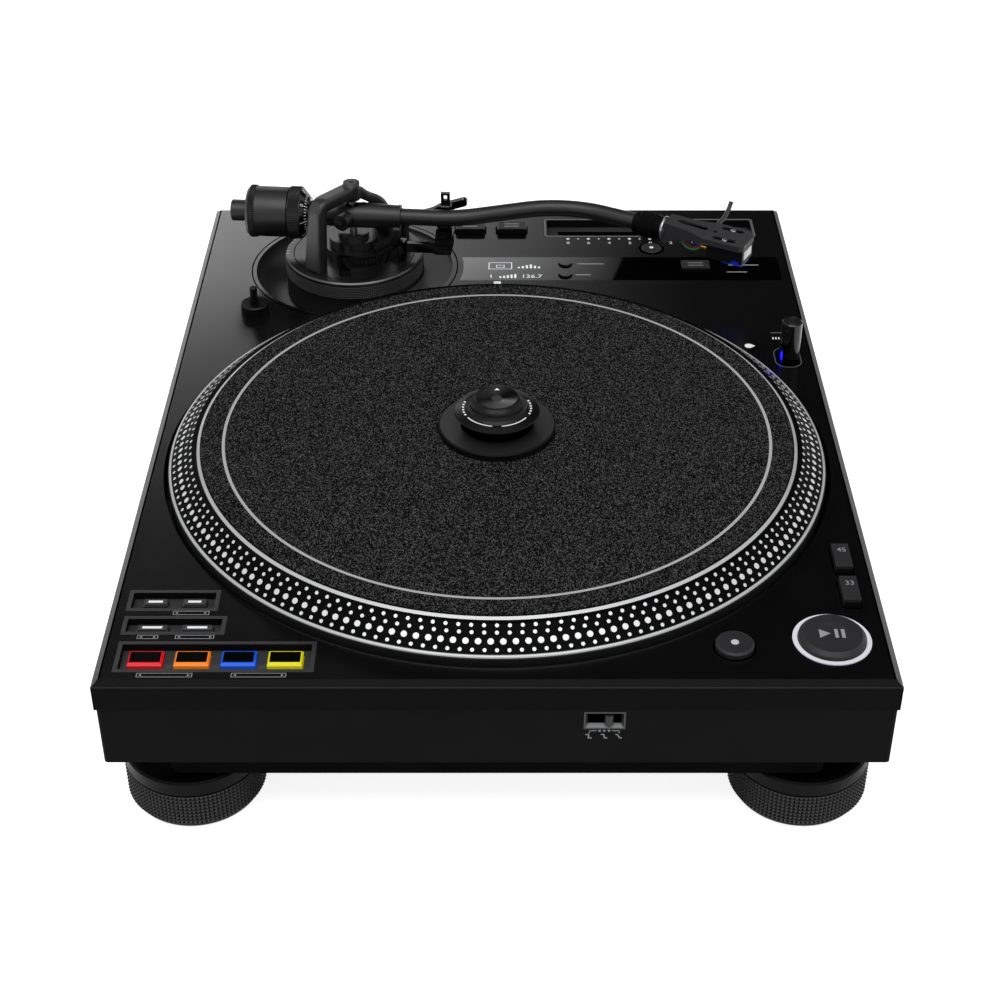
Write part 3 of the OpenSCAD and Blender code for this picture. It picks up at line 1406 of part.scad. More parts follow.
top_panel();
lower_cabinet();
base_plate();
control_trays();
display_window();
start_ring();
headshell_stand();
bearing_housing();
stator();
circuit_boards();
rear_sockets();
base_screws();
platter();
rotor();
slipmat();
clamp_base();
torque_dial();
tempo_knob();
brake_knob();
target_lamp();
start_button();
motor_off_button();
speed_button(speed_33_at);  // speed_33_button
speed_button(speed_45_at);  // speed_45_button
reset_button();
needle_mode_button();
pitch_button(step_pitch_at);  // step_pitch_button
pitch_button(tempo_range_at);  // tempo_range_button
display_button(application_at);  // application_button
display_button(deck_at);  // deck_button
tray_button(shift_at, shift_button_size);  // shift_button
tray_button(doubles_at, shift_button_size);  // doubles_button
tray_button(hot_cue_at, mode_button_size);  // hot_cue_button
tray_button(sampler_at, mode_button_size);  // sampler_button
for (i = [0:3]) pad(i);
for (i = [0:3]) foot(i);
arm_base();
height_ring();
arm_arch();
gimbal();
arm_housing();
arm_tube();
headshell_collar();
headshell();
cartridge();
stylus();
cartridge_leads();
counterweight();
tracking_dial();
anti_skate_dial();
lifter_bar();
cue_lever();
arm_rest();
arm_clip();
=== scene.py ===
"""Looks of the disc player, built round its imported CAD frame, in metres."""

import logging
import math
from dataclasses import dataclass
from enum import Enum
from typing import Any, Callable, Iterable, Sequence

import bmesh
import bpy
from mathutils import Matrix, Vector


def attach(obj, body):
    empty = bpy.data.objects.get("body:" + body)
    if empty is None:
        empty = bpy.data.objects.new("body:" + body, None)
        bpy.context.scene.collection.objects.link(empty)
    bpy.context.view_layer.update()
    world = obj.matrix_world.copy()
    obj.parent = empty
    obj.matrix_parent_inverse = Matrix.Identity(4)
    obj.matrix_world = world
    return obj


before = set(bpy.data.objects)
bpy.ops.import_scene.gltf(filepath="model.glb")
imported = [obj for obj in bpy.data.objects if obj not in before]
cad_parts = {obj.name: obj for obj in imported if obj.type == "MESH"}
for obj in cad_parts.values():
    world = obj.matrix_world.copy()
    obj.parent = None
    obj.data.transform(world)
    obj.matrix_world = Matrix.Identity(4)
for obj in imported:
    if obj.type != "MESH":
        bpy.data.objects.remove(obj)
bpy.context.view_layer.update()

LOG = logging.getLogger("disc_player")
# Lengths below are in millimetres, and become metres by MM.
MM = 0.001
DECK = 97.0
PIVOT = (-84.5, 150.0)
ARM_Z = DECK + 34.2
ARM_YAW = -5.0
SPINDLE = (0.0, -47.5)
LAMP_AT = (160.6, 44.7)
ORIGIN = (0.0, 0.0, 0.0)
# How far ink, seams, and the flat pieces of painted shadow and highlight lie over the surface under them.
INK_LIFT = 0.06
GAP_LIFT = 0.04
# The least depth that a bump node is given.
LEAST_GRAIN = 0.0005

Point = tuple[float, float]
Point3 = tuple[float, float, float]
Colour = tuple[float, float, float, float]
Tree = bpy.types.NodeTree
Socket = bpy.types.NodeSocket
Vert = bmesh.types.BMVert


def polar(centre: Point, r: float, a: float) -> Point:
    """Returns the point at a distance r from a centre, at a heading a in radians."""
    return (centre[0] + r * math.cos(a), centre[1] + r * math.sin(a))


# Materials


def linear(code: str) -> Colour:
    """Turns an sRGB hex code into linear RGBA.

    Args:
        code: six hex digits after a hash sign.

    Returns:
        Red, green, blue and alpha, each from 0 to 1.
    """
    parts = [int(code[i : i + 2], 16) / 255 for i in (1, 3, 5)]
    rgb = [p / 12.92 if p <= 0.04045 else ((p + 0.055) / 1.055) ** 2.4 for p in parts]
    return (rgb[0], rgb[1], rgb[2], 1.0)


def grey(level: float) -> Colour:
    """Returns an even linear colour of the given level."""
    return (level, level, level, 1.0)


def add(tree: Tree, kind: str, inputs: dict[Any, Any] | None = None, **fields: Any) -> bpy.types.Node:
    """Adds a shader node, sets its fields, and sets or links its inputs.

    Args:
        tree: the node tree to add to.
        kind: the node's type name without its ShaderNode prefix.
        inputs: input name or index to a value, or to a socket to link from.
        **fields: other properties of the node.

    Returns:
        The new node.
    """
    made = tree.nodes.new("ShaderNode" + kind)
    for name, value in fields.items():
        setattr(made, name, value)
    for key, value in (inputs or {}).items():
        if isinstance(value, Socket):
            tree.links.new(value, made.inputs[key])
        else:
            made.inputs[key].default_value = value
    return made


@dataclass(frozen=True)
class Finish:
    """A surface: a principled shader with fine grain in its relief and cloudiness in its gloss."""

    name: str
    colour: str
    roughness: float = 0.4
    metallic: float = 0.0
    specular: float = 0.5
    grain: float = 0.0
    grain_mm: float = 0.4
    cloud: float = 0.06
    cloud_mm: float = 22.0
    coat: float = 0.0
    glow: float = 0.0
    stretch: float = 0.0
    round_mm: float = 0.0

    def height(self, tree: Tree, where: Socket) -> Socket:
        """Adds the pattern of the relief.

        Args:
            tree: the material's node tree.
            where: the coordinates to use.

        Returns:
            The pattern's height.
        """
        return add(tree, "TexNoise", {"Vector": where, "Scale": 1 / (self.grain_mm * MM), "Detail": 3.0}).outputs["Fac"]

    def relief(self, tree: Tree, where: Socket) -> Socket:
        """Adds the relief and any soft edges.

        Args:
            tree: the material's node tree.
            where: the coordinates to use.

        Returns:
            The bent normal.
        """
        depth = max(self.grain, LEAST_GRAIN) * MM
        bump = add(tree, "Bump", {"Height": self.height(tree, where), "Distance": depth, "Strength": 1.0})
        if self.round_mm:
            soft = add(tree, "Bevel", {"Radius": self.round_mm * MM}, samples=6)
            tree.links.new(soft.outputs["Normal"], bump.inputs["Normal"])
        return bump.outputs["Normal"]

    def tint(self, tree: Tree, where: Socket) -> Socket | None:
        """Adds a colour pattern; Args as in height, returns its colour, or None for one plain colour."""
        return None

    def lay(self, tree: Tree, where: Socket) -> Socket | None:
        """Adds the direction that highlights stretch in; Args as in height, returns it, or None."""
        return None

    def material(self) -> bpy.types.Material:
        """Makes this finish's material at its first use.

        Returns:
            The material.
        """
        found = bpy.data.materials.get(self.name)
        if found:
            return found
        made = bpy.data.materials.new(self.name)
        made.use_nodes = True
        tree = made.node_tree
        tree.nodes.clear()
        where = add(tree, "TexCoord").outputs["Object"]
        haze = add(tree, "TexNoise", {"Vector": where, "Scale": 1 / (self.cloud_mm * MM), "Detail": 4.0})
        low, high = max(self.roughness - self.cloud, 0.0), min(self.roughness + self.cloud, 1.0)
        ends = {"From Min": 0.3, "From Max": 0.7, "To Min": low, "To Max": high}
        gloss = add(tree, "MapRange", {"Value": haze.outputs["Fac"], **ends})
        base = add(
            tree,
            "BsdfPrincipled",
            {
                "Base Color": self.tint(tree, where) or linear(self.colour),
                "Metallic": self.metallic,
                "Roughness": gloss.outputs["Result"],
                "Specular IOR Level": self.specular,
                "Anisotropic": self.stretch,
                "Coat Weight": self.coat,
                "Coat Roughness": 0.06,
                "Emission Color": linear(self.colour),
                "Emission Strength": self.glow,
                "Normal": self.relief(tree, where),
            },
        )
        lay = self.lay(tree, where)
        if lay:
            tree.links.new(lay, base.inputs["Tangent"])
        add(tree, "OutputMaterial", {"Surface": base.outputs["BSDF"]})
        return made


@dataclass(frozen=True)
class TurnedFinish(Finish):
    """Metal from a lathe: fine rings round an upright axis that stretch its highlights."""

    centre: Point = (0.0, 0.0)
    ring_mm: float = 0.35

    def spoke(self, tree: Tree, where: Socket) -> Socket:
        """Adds the level offset from the axis.

        Args:
            tree: the material's node tree.
            where: the coordinates to use.

        Returns:
            The offset.
        """
        foot = (self.centre[0] * MM, self.centre[1] * MM, 0)
        offset = add(tree, "VectorMath", {0: where, 1: foot}, operation="SUBTRACT")
        return add(tree, "VectorMath", {0: offset.outputs[0], 1: (1, 1, 0)}, operation="MULTIPLY").outputs[0]

    def lay(self, tree: Tree, where: Socket) -> Socket:
        """Adds the direction across the rings; Args and Returns as in Finish."""
        return add(tree, "VectorMath", {0: self.spoke(tree, where)}, operation="NORMALIZE").outputs[0]

    def height(self, tree: Tree, where: Socket) -> Socket:
        """Adds rings round the axis.

        Args:
            tree: the material's node tree.
            where: the coordinates to use.

        Returns:
            The rings' height.
        """
        reach = add(tree, "VectorMath", {0: self.spoke(tree, where)}, operation="LENGTH").outputs["Value"]
        rings = {"W": reach, "Scale": 1 / (self.ring_mm * MM), "Detail": 2.0}
        return add(tree, "TexNoise", rings, noise_dimensions="1D").outputs["Fac"]


@dataclass(frozen=True)
class FeltFinish(Finish):
    """Pressed felt: clumped fibre that shows as bright and dark flecks."""

    fleck: str = "#525252"
    pit: str = "#020202"
    fleck_at: float = 0.67
    pit_at: float = 0.485
    clump_mm: float = 0.58
    nap: Point3 = (1.0, 0.6, 1.0)

    def tint(self, tree: Tree, where: Socket) -> Socket:
        """Adds the flecks.

        Args:
            tree: the material's node tree.
            where: the coordinates to use.

        Returns:
            Their colour.
        """
        nap = add(tree, "VectorMath", {0: where, 1: self.nap}, operation="MULTIPLY").outputs[0]
        fibre = {"Vector": nap, "Scale": 1 / (self.clump_mm * MM), "Detail": 3.0, "Roughness": 0.6}
        ramp = add(tree, "ValToRGB", {"Fac": add(tree, "TexNoise", fibre).outputs["Fac"]})
        stops = ((self.pit_at, self.pit), (self.fleck_at, self.fleck))
        for stop, (position, colour) in zip(ramp.color_ramp.elements, stops):
            stop.position, stop.color = position, linear(colour)
        return ramp.outputs["Color"]


@dataclass(frozen=True)
class FadeFinish(Finish):
    """A surface whose colour changes evenly from the front of the player to its back."""

    far: str = "#808080"
    reach_mm: float = 226.0

    def tint(self, tree: Tree, where: Socket) -> Socket:
        """Adds the change of colour.

        Args:
            tree: the material's node tree.
            where: the coordinates to use.

        Returns:
            The colour.
        """
        spot, reach = add(tree, "SeparateXYZ", {0: where}), self.reach_mm * MM
        share = add(tree, "MapRange", {"Value": spot.outputs["Y"], "From Min": -reach, "From Max": reach})
        ends = {"Factor": share.outputs["Result"], 6: linear(self.colour), 7: linear(self.far)}
        return add(tree, "Mix", ends, data_type="RGBA").outputs[2]


class Paint:
    """The finishes of the whole player, named for what they are and how they are made; some hold painted light or
    shade.
    """

    # Deck: satin lacquer that turns the back softbox into a broad, soft sheen.
    LACQUER = Finish("metal_satin_lacquered", "#050506", 0.23, specular=0.42, cloud=0.01)
    # Deck edge: the same metal with a dull edge that shows little of the floor.
    SKIRT = Finish("metal_dull_lacquered", "#08080a", 0.5, specular=0.03, cloud=0.02)
    # Bowl: the same lacquer over a rougher blasted dish.
    BOWL = Finish("metal_blasted_lacquered", "#1d1d1f", 0.46, specular=0.5, cloud=0.02)
    # Cabinet: spark-grained moulding with an even dark face.
    MOULDING = Finish("plastic_spark_grained", "#101011", 0.55, specular=0.03, grain=0.02, grain_mm=0.35)
    # Base: the dullest black, nearly without highlights.
    DULL = Finish("plastic_dull_moulded", "#070707", 0.7, specular=0.02, grain=0.03, grain_mm=0.5)
    # Feet: a firm moulding; the upper sides of its knurl take the painted highlight below.
    FOOT = Finish("plastic_black_moulded", "#080809", 0.38, specular=0.06, grain=0.006)
    # Foot knurl: painted highlight, a greyer colour on the upper side of each point.
    FOOT_KNURL = Finish("plastic_knurl_painted_highlight", "#464648", 0.34, specular=0.12)
    # Trays: grey moulding, a little lighter than the deck so that the frames read.
    TRAY = Finish("plastic_tray_grained", "#161618", 0.5, grain=0.012)
    # Tray floors: the palest grey of the moulding.
    TRAY_FLOOR = Finish("plastic_tray_floor", "#262628", 0.5, grain=0.012)
    # Buttons: satin black caps.
    KEY = Finish("plastic_key_satin", "#1f1f21", 0.45, specular=0.3, grain=0.006, round_mm=0.7)
    # Display button: darker than the others.
    KEY_DARK = Finish("plastic_key_dark", "#18181a", 0.45, specular=0.4, grain=0.006)
    # Tray buttons: grey caps that stay readable at the bottom of a tray.
    KEY_GREY = Finish("plastic_key_grey", "#2c2c2e", 0.4, grain=0.006)
    # Display: polished black that mirrors the softbox with a hard edge.
    WINDOW = Finish("acrylic_black_polished", "#020202", 0.02, specular=0.9, cloud=0.0)
    # Gloss black: knobs, clamp and lamp with sharp small highlights.
    GLOSS = Finish("plastic_black_polished", "#030303", 0.16, specular=0.35, cloud=0.03)
    # Arm: gloss lacquer on metal.
    ARM = Finish("metal_gloss_lacquered", "#030304", 0.4, specular=0.42, cloud=0.03)
    # Arm base: satin coat that spreads the softbox into one pale side.
    SATIN = Finish("metal_satin_coated", "#070708", 0.33, specular=0.75, cloud=0.02)
    # Arch: a greyer casting with broad soft lights on its round legs.
    ARCH = Finish("metal_cast_coated", "#0c0c0d", 0.34, specular=0.6, cloud=0.03, round_mm=3.5)
    # Ribs: fine straight grooves, a shade lighter than the weight.
    RIB = Finish("metal_ribbed_lacquered", "#161617", 0.4, specular=0.14)
    # Collar: dull black.
    COLLAR = Finish("metal_dull_black", "#020202", 0.5, specular=0.05)
    # Knurls: painted highlight, a greyer lacquer on the upper side of each point of the height ring.
    KNURL = Finish("metal_knurl_painted_highlight", "#2e2e30", 0.4, metallic=0.1, specular=0.2)
    # Anodised: soft metallic grey of the headshell.
    ANODISED = Finish("aluminium_grey_anodised", "#2c2c2e", 0.5, metallic=0.1, specular=0.25, grain=0.006)
    # Platter: turned aluminium, its colour dimmed as painted shade and dark reflection on the rim wall.
    TURNED = TurnedFinish("aluminium_turned", "#1c1c1d", 0.45, metallic=0.1, specular=0.1, grain=0.004, centre=SPINDLE)
    # Platter edges: bright satin rings that stay light from every side.
    EDGE = TurnedFinish("aluminium_turned_bright", "#b4b5b7", 0.38, metallic=0.3, grain=0.003, centre=SPINDLE)
    # Strobe band: matt black paint between the dots.
    BAND = Finish("paint_black_strobe", "#030303", 0.5, specular=0.03, grain=0.004)
    # Dots: flat faces left bright by the lathe.
    DOT = Finish("aluminium_polished_dot", "#d0d1d2", 0.42, metallic=0.25, cloud=0.03)
    # Slipmat: flecked felt.
    FELT = FeltFinish("felt_pressed", "#1b1b1c", 0.9, specular=0.04, grain=0.25, grain_mm=0.7, cloud=0.0)
    # Ring line on the slipmat: grey print broken up by the felt.
    FELT_INK = Finish("ink_grey_on_felt", "#a2a3a4", 0.85, specular=0.1, grain=0.2, grain_mm=0.8)
    # Steel: screws and spindles.
    STEEL = Finish("steel_turned", "#9a9b9e", 0.25, metallic=1.0)
    # Spun cap: concentric lines on the dial's top.
    SPUN = TurnedFinish(
        "aluminium_spun_black", "#4a4a4c", 0.22, metallic=0.95, centre=SPINDLE, ring_mm=0.5, stretch=0.92
    )
    BRASS = Finish("brass_turned", "#b08d4a", 0.3, metallic=1.0)
    COPPER = Finish("copper_enamelled", "#9a4f25", 0.3, metallic=0.8)
    BOARD = Finish("glass_fibre_coated", "#0f4a24", 0.4)
    # Inks: the deck's printed marks; the white ink glows a little, as painted light.
    INK = Finish("ink_white_printed_glowing", "#d9dadb", 0.6, specular=0.2, glow=0.15)
    INK_GREY = Finish("ink_grey_printed", "#8b8c8e", 0.6, specular=0.2)
    # Lit pieces.
    MILK = Finish("acrylic_milky_lit", "#cfcfd6", 0.3, glow=0.12)
    LED = Finish("lens_white_lit", "#b4b4b6", 0.3, glow=0.1)
    # Gaps: painted shadow, flat black in the clearance round the buttons, on the brake's floor and on the dial's drum;
    # also the dark seams and slots.
    GAP = Finish("shadow_gap_black", "#010101", 0.9, specular=0.0, cloud=0.0)
    # Borders: painted sheen on the deck's bevelled sides, pale at the back on the left, dim on the right.
    BORDER_LEFT = FadeFinish("metal_border_left_painted_sheen", "#2a2a2c", 0.5, specular=0.4, cloud=0.03, far="#7a7b7e")
    BORDER_RIGHT = FadeFinish("metal_border_right_painted_sheen", "#303032", 0.5, specular=0.4, cloud=0.03, far="#2a2a2c")
    # Clamp: satin black that shows soft greys and no hard lights.
    CLAMP = Finish("plastic_black_satin", "#111112", 0.42, specular=0.55, cloud=0.03)
    # Torque dial and stand: a darker satin than the clamp's flange.
    DIAL = Finish("plastic_black_turned", "#040405", 0.34, specular=0.16, cloud=0.03)
    # Front bevel: a dull strip, its colour a little lighter than the deck as painted sheen.
    BEVEL = Finish("metal_bevel_painted_sheen", "#131314", 0.6, specular=0.04, cloud=0.02)
    # Flanks: painted shade, a dark copy of the key moulding on the buttons' fronts, the tray walls and the clamp's
    # sides.
    KEY_SIDE = Finish("plastic_flank_painted_shade", "#0c0c0d", 0.5, specular=0.05)
    # Lip: painted highlight, a pale line for the lit raised edge round the tempo recess and the lamp's pocket.
    LIP = Finish("plastic_lip_painted_highlight", "#5c5d5f", 0.4)
    # Cartridge: matt moulding.
    MATT = Finish("plastic_black_matt", "#0a0a0b", 0.5, specular=0.12, grain=0.006)
    # Lamp top: spun lines round the lamp's own axis.
    LAMP = TurnedFinish(
        "aluminium_spun_lamp", "#6a6a6c", 0.24, metallic=0.95, centre=LAMP_AT, ring_mm=0.5, stretch=0.92
    )
    LCD = Finish("glass_display_lit", "#c9d0d4", 0.4, glow=0.55)
    BLUE = Finish("lens_blue_lit", "#0b0bff", 0.3, glow=12.0)
    # Pads: clear colours that glow a little and keep a sharp gloss.
    PADS = {
        name: Finish(f"acrylic_{name}_clear", code, 0.18, glow=0.2, coat=0.5)
        for name, code in (("red", "#d3121c"), ("orange", "#f0800c"), ("blue", "#0f55d8"), ("yellow", "#dcd40e"))
    }
    # Cartridge and its leads; the blue stylus glows a little, as painted light.
    STYLUS = Finish("plastic_blue_glowing", "#1a36d8", 0.3, glow=0.08)
    GOLD = Finish("brass_gilded", "#d9a441", 0.25, metallic=1.0)
    LEADS = tuple(
        Finish(f"sleeve_{name}", code, 0.5)
        for name, code in (("green", "#1e7a3a"), ("red", "#b3202a"), ("blue", "#2148b8"), ("white", "#d5d5d5"))
    )
    SHELL_WHITE = Finish("plastic_pale_moulded", "#dfe0e2", 0.35)
    JACK_RED = Finish("plastic_red_moulded", "#a01820", 0.4)
    JACK_WHITE = Finish("plastic_white_moulded", "#d8d8d8", 0.4)


# Mesh building


class Axis(Enum):
    """Directions that a lathe or a band can turn round."""

    UP = (0.0, 0.0, 1.0)
    ALONG = (1.0, 0.0, 0.0)


class Side(Enum):
    """Sides of a knurl's pyramids: those in shade, the upper one that takes a painted highlight, or all."""

    SHADE = (0, 1, 3)
    LIGHT = (2,)
    ALL = (0, 1, 2, 3)


@dataclass(frozen=True)
class Knurl:
    """A band of small pyramids: radius, ends along the axis, counts round and along, and height."""

    radius: float
    ends: Point
    around: int
    rows: int
    depth: float


class Shape:
    """A mesh in the making; places are given in millimetres in the shared frame."""

    def __init__(self, place: Matrix | None = None) -> None:
        """Starts an empty mesh.

        Args:
            place: moves everything added after, in millimetres.
        """
        self.bm = bmesh.new()
        self.place = place or Matrix.Identity(4)
        self.turned = False

    def metres(self, spot: Matrix) -> Matrix:
        """Returns a matrix in millimetres as one in metres, moved by the shape's place."""
        return Matrix.Scale(MM, 4) @ self.place @ spot

    def vert(self, x: float, y: float, z: float) -> Vert:
        """Adds one vertex and returns it; x, y and z are in millimetres."""
        return self.bm.verts.new((self.place @ Vector((x, y, z))) * MM)

    def off_axis(self, centre: Point3, axis: Axis, r: float, a: float, h: float) -> Vert:
        """Adds one vertex off an axis.

        Args:
            centre: the axis's foot.
            axis: its direction.
            r: the distance from it.
            a: the heading round it, in radians.
            h: the distance along it.

        Returns:
            The vertex.
        """
        x, y = polar((0.0, 0.0), r, a)
        spot = (x, y, h) if axis is Axis.UP else (h, x, y)
        return self.vert(*(c + s for c, s in zip(centre, spot)))

    def chain(self, verts: Sequence[Vert], closed: bool = False) -> list[bmesh.types.BMEdge]:
        """Joins vertices with edges, in order and back to the first if closed, and returns the edges."""
        return [self.bm.edges.new(pair) for pair in zip(verts, [*verts[1:], *(verts[:1] if closed else ())])]

    def sweep(self, verts: Sequence[Vert], centre: Point3, axis: Axis, degrees: float, count: int) -> None:
        """Spins a chain of vertices round an axis.

        Args:
            verts: the chain.
            centre: the axis's foot.
            axis: its direction.
            degrees: how far it turns; 360 closes the surface.
            count: the number of steps.
        """
        bmesh.ops.spin(
            self.bm,
            geom=[*verts, *self.chain(verts)],
            cent=(self.place @ Vector(centre)) * MM,
            axis=self.place.to_3x3() @ Vector(axis.value),
            angle=math.radians(degrees),
            steps=count,
            use_merge=degrees == 360,
        )

    def look_up(self) -> None:
        """Turns over the faces that look away from the upper side of the shape's place."""
        up = self.place.to_3x3() @ Vector(Axis.UP.value)
        self.bm.normal_update()
        bmesh.ops.reverse_faces(self.bm, faces=[f for f in self.bm.faces if f.normal.dot(up) < 0])

    def face(self, points: Iterable[Point3]) -> None:
        """Adds one face with the given corners, in order."""
        self.bm.faces.new([self.vert(*p) for p in points])

    def flat(self, outline: Sequence[Point], z: float) -> None:
        """Adds one level face at a height z; its outline runs anticlockwise from above."""
        self.face([(x, y, z) for x, y in outline])

    def bar(self, centre: Point, size: Point, z: float) -> None:
        """Adds a level rectangle with its centre, its size as width and length, and its height z."""
        spot = Matrix.Translation((*centre, z)) @ Matrix.Diagonal((*size, 1.0, 1.0))
        bmesh.ops.create_grid(self.bm, x_segments=1, y_segments=1, size=0.5, matrix=self.metres(spot))

    def frame_line(self, centre: Point, size: Point, line: float, z: float) -> None:
        """Adds the outline of a rectangle.

        Args:
            centre: its middle.
            size: its outer width and length.
            line: the width of the line.
            z: its height.
        """
        (x, y), (w, l) = centre, size
        for side in (-1, 1):
            self.bar((x, y + side * (l - line) / 2), (w, line), z)
            self.bar((x + side * (w - line) / 2, y), (line, l - 2 * line), z)

    def disc(self, centre: Point3, radius: float, count: int, normal: Vector = Vector((0, 0, 1))) -> None:
        """Adds a flat disc, level or on a slope.

        Args:
            centre: its middle.
            radius: its radius.
            count: its number of sides.
            normal: the slope's normal.
        """
        across = normal.orthogonal().normalized()
        turn = Matrix((across, normal.cross(across), normal)).transposed().to_4x4()
        spot = Matrix.Translation(centre) @ turn
        bmesh.ops.create_circle(self.bm, cap_ends=True, segments=count, radius=radius, matrix=self.metres(spot))

    def ring(
        self, centre: Point, inner: float, outer: float, z: float, span: Point = (0, 360), count: int = 96
    ) -> None:
        """Adds a level ring, or an arc of one.

        Args:
            centre: its middle.
            inner: its inner radius.
            outer: its outer radius.
            z: its height.
            span: its first and last heading in degrees.
            count: its number of steps.
        """
        ends = [self.vert(*polar(centre, r, math.radians(span[0])), z) for r in (inner, outer)]
        self.sweep(ends, (*centre, z), Axis.UP, span[1] - span[0], count)
        self.look_up()

    def rounded_line(self, centre: Point, size: Point, corner: float, line: float, z: float) -> None:
        """Adds the outline of a rectangle with round corners.

        Args:
            centre: its middle.
            size: its outer width and length.
            corner: the outer radius of its corners.
            line: the width of the line.
            z: its height.
        """
        edges = []
        for inset in (0.0, line):
            w, l, r = size[0] / 2 - inset, size[1] / 2 - inset, max(corner - inset, 0.05)
            loop = []
            for first, sx, sy in ((0, 1, 1), (90, -1, 1), (180, -1, -1), (270, 1, -1)):
                middle = (centre[0] + sx * (w - r), centre[1] + sy * (l - r))
                loop += [self.vert(*polar(middle, r, math.radians(first + 15 * step)), z) for step in range(7)]
            edges += self.chain(loop, closed=True)
        bmesh.ops.bridge_loops(self.bm, edges=edges)
        self.look_up()

    def lathe(self, profile: Sequence[Point], centre: Point3, axis: Axis = Axis.UP, count: int = 96) -> None:
        """Adds a turned surface.

        Args:
            profile: radius and height of each step.
            centre: the axis's foot.
            axis: the direction of the axis.
            count: the number of steps round.
        """
        self.turned = True
        self.sweep([self.off_axis(centre, axis, r, 0.0, h) for r, h in profile], centre, axis, 360, count)

    def ribs(self, radius: float, ends: Point, count: int, depth: float) -> None:
        """Adds a band of straight ribs round the first axis.

        Args:
            radius: the radius between the ribs.
            ends: where the band starts and ends along the axis.
            count: the number of ribs.
            depth: the height of a rib.
        """
        self.turned = True
        turn = [math.pi * i / count for i in range(2 * count)]
        loop = [self.off_axis(ORIGIN, Axis.ALONG, radius + depth * (i % 2), a, ends[0]) for i, a in enumerate(turn)]
        made = bmesh.ops.extrude_edge_only(self.bm, edges=self.chain(loop, closed=True))["geom"]
        along = self.place.to_3x3() @ Vector((ends[1] - ends[0], 0, 0)) * MM
        bmesh.ops.translate(self.bm, verts=[g for g in made if isinstance(g, Vert)], vec=along)

    def knurl(self, band: Knurl, centre: Point3, axis: Axis, sides: Side) -> None:
        """Adds a band of small pyramids, which no operator makes one side at a time.

        Args:
            band: its sizes and counts.
            centre: the axis's foot.
            axis: the direction of the axis.
            sides: which sides of the pyramids to add.
        """

        def spot(i: float, j: float, lift: float) -> Vert:
            """Adds the vertex at step i round and j along, a lift over the feet, and returns it."""
            h = band.ends[0] + (band.ends[1] - band.ends[0]) * j / band.rows
            return self.off_axis(centre, axis, band.radius + lift, 2 * math.pi * i / band.around, h)

        grid = [[spot(i, j, 0.0) for i in range(band.around)] for j in range(band.rows + 1)]
        for j in range(band.rows):
            for i in range(band.around):
                k = (i + 1) % band.around
                feet = [grid[j][i], grid[j][k], grid[j + 1][k], grid[j + 1][i]]
                tip = spot(i + 0.5, j + 0.5, band.depth)
                for side in sides.value:
                    self.bm.faces.new((feet[side], feet[(side + 1) % 4], tip))

    def box(self, low: Point3, high: Point3, bevel: float) -> None:
        """Adds a box with rounded edges.

        Args:
            low: its lowest corner.
            high: its highest corner.
            bevel: the width of its edges.
        """
        size = [h - l for l, h in zip(low, high)]
        spot = Matrix.Translation([(h + l) / 2 for l, h in zip(low, high)]) @ Matrix.Diagonal((*size, 1.0))
        verts = bmesh.ops.create_cube(self.bm, size=1.0, matrix=self.metres(spot))["verts"]
        bmesh.ops.bevel(
            self.bm,
            geom=list({e for v in verts for e in v.link_edges}),
            offset=bevel * MM,
            offset_type="OFFSET",
            affect="EDGES",
            segments=2,
            profile=0.5,
            material=-1,
        )

    def frustum(self, centre: Point, low: Point3, high: Point3) -> None:
        """Adds a block that narrows upwards and is open below.

        Args:
            centre: its middle.
            low: width, length and height of its foot.
            high: width, length and height of its top.
        """
        verts = bmesh.ops.create_cube(self.bm, size=1.0)["verts"]
        foot = [f for f in self.bm.faces if all(v.co.z < 0 for v in f.verts)]
        for v in verts:
            w, l, z = low if v.co.z < 0 else high
            v.co = (self.place @ Vector((centre[0] + v.co.x * w, centre[1] + v.co.y * l, z))) * MM
        bmesh.ops.delete(self.bm, geom=foot, context="FACES_ONLY")

    def digits(self, text: str, height: float, at: Point3, turn: Matrix | None = None) -> None:
        """Adds plain numbers.

        Args:
            text: digits, points and signs.
            height: the height of a digit.
            at: the middle of the line.
            turn: tips the line from lying flat.
        """
        curve = bpy.data.curves.new("digits", "FONT")
        curve.body, curve.align_x, curve.align_y = text, "CENTER", "CENTER"
        curve.size = height * 1.4
        holder = bpy.data.objects.new("digits", curve)
        mesh = bpy.data.meshes.new_from_object(holder)
        where = self.place @ Matrix.Translation(at) @ (turn or Matrix.Identity(4))
        verts = [self.bm.verts.new((where @ v.co) * MM) for v in mesh.vertices]
        for p in mesh.polygons:
            self.bm.faces.new([verts[i] for i in p.vertices])
        bpy.data.objects.remove(holder)
        bpy.data.meshes.remove(mesh)
        bpy.data.curves.remove(curve)

    def mesh(self, name: str, material: bpy.types.Material) -> bpy.types.Object:
        """Ends the building and makes an object of it.

        Args:
            name: the object's name.
            material: its material.

        Returns:
            The object, in the scene.
        """
        mesh = bpy.data.meshes.new(name)
        self.bm.to_mesh(mesh)
        self.bm.free()
        mesh.materials.append(material)
        made = bpy.data.objects.new(name, mesh)
        bpy.context.scene.collection.objects.link(made)
        return made

    def done(self, name: str, body: str, finish: Finish, slot: str, smooth: bool = False) -> None:
        """Turns the mesh into a piece that rides on a body.

        Args:
            name: the piece's name.
            body: the CAD body that it rides on.
            finish: its surface.
            slot: the record's material slot; not used.
            smooth: whether its faces are shaded as one surface.
        """
        bmesh.ops.remove_doubles(self.bm, verts=self.bm.verts, dist=0.002 * MM)
        if self.turned:
            bmesh.ops.recalc_face_normals(self.bm, faces=self.bm.faces)
        made = self.mesh(name, finish.material())
        for p in made.data.polygons:
            p.use_smooth = smooth
        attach(made, body)
        LOG.info("piece %s: %d faces", name, len(made.data.polygons))


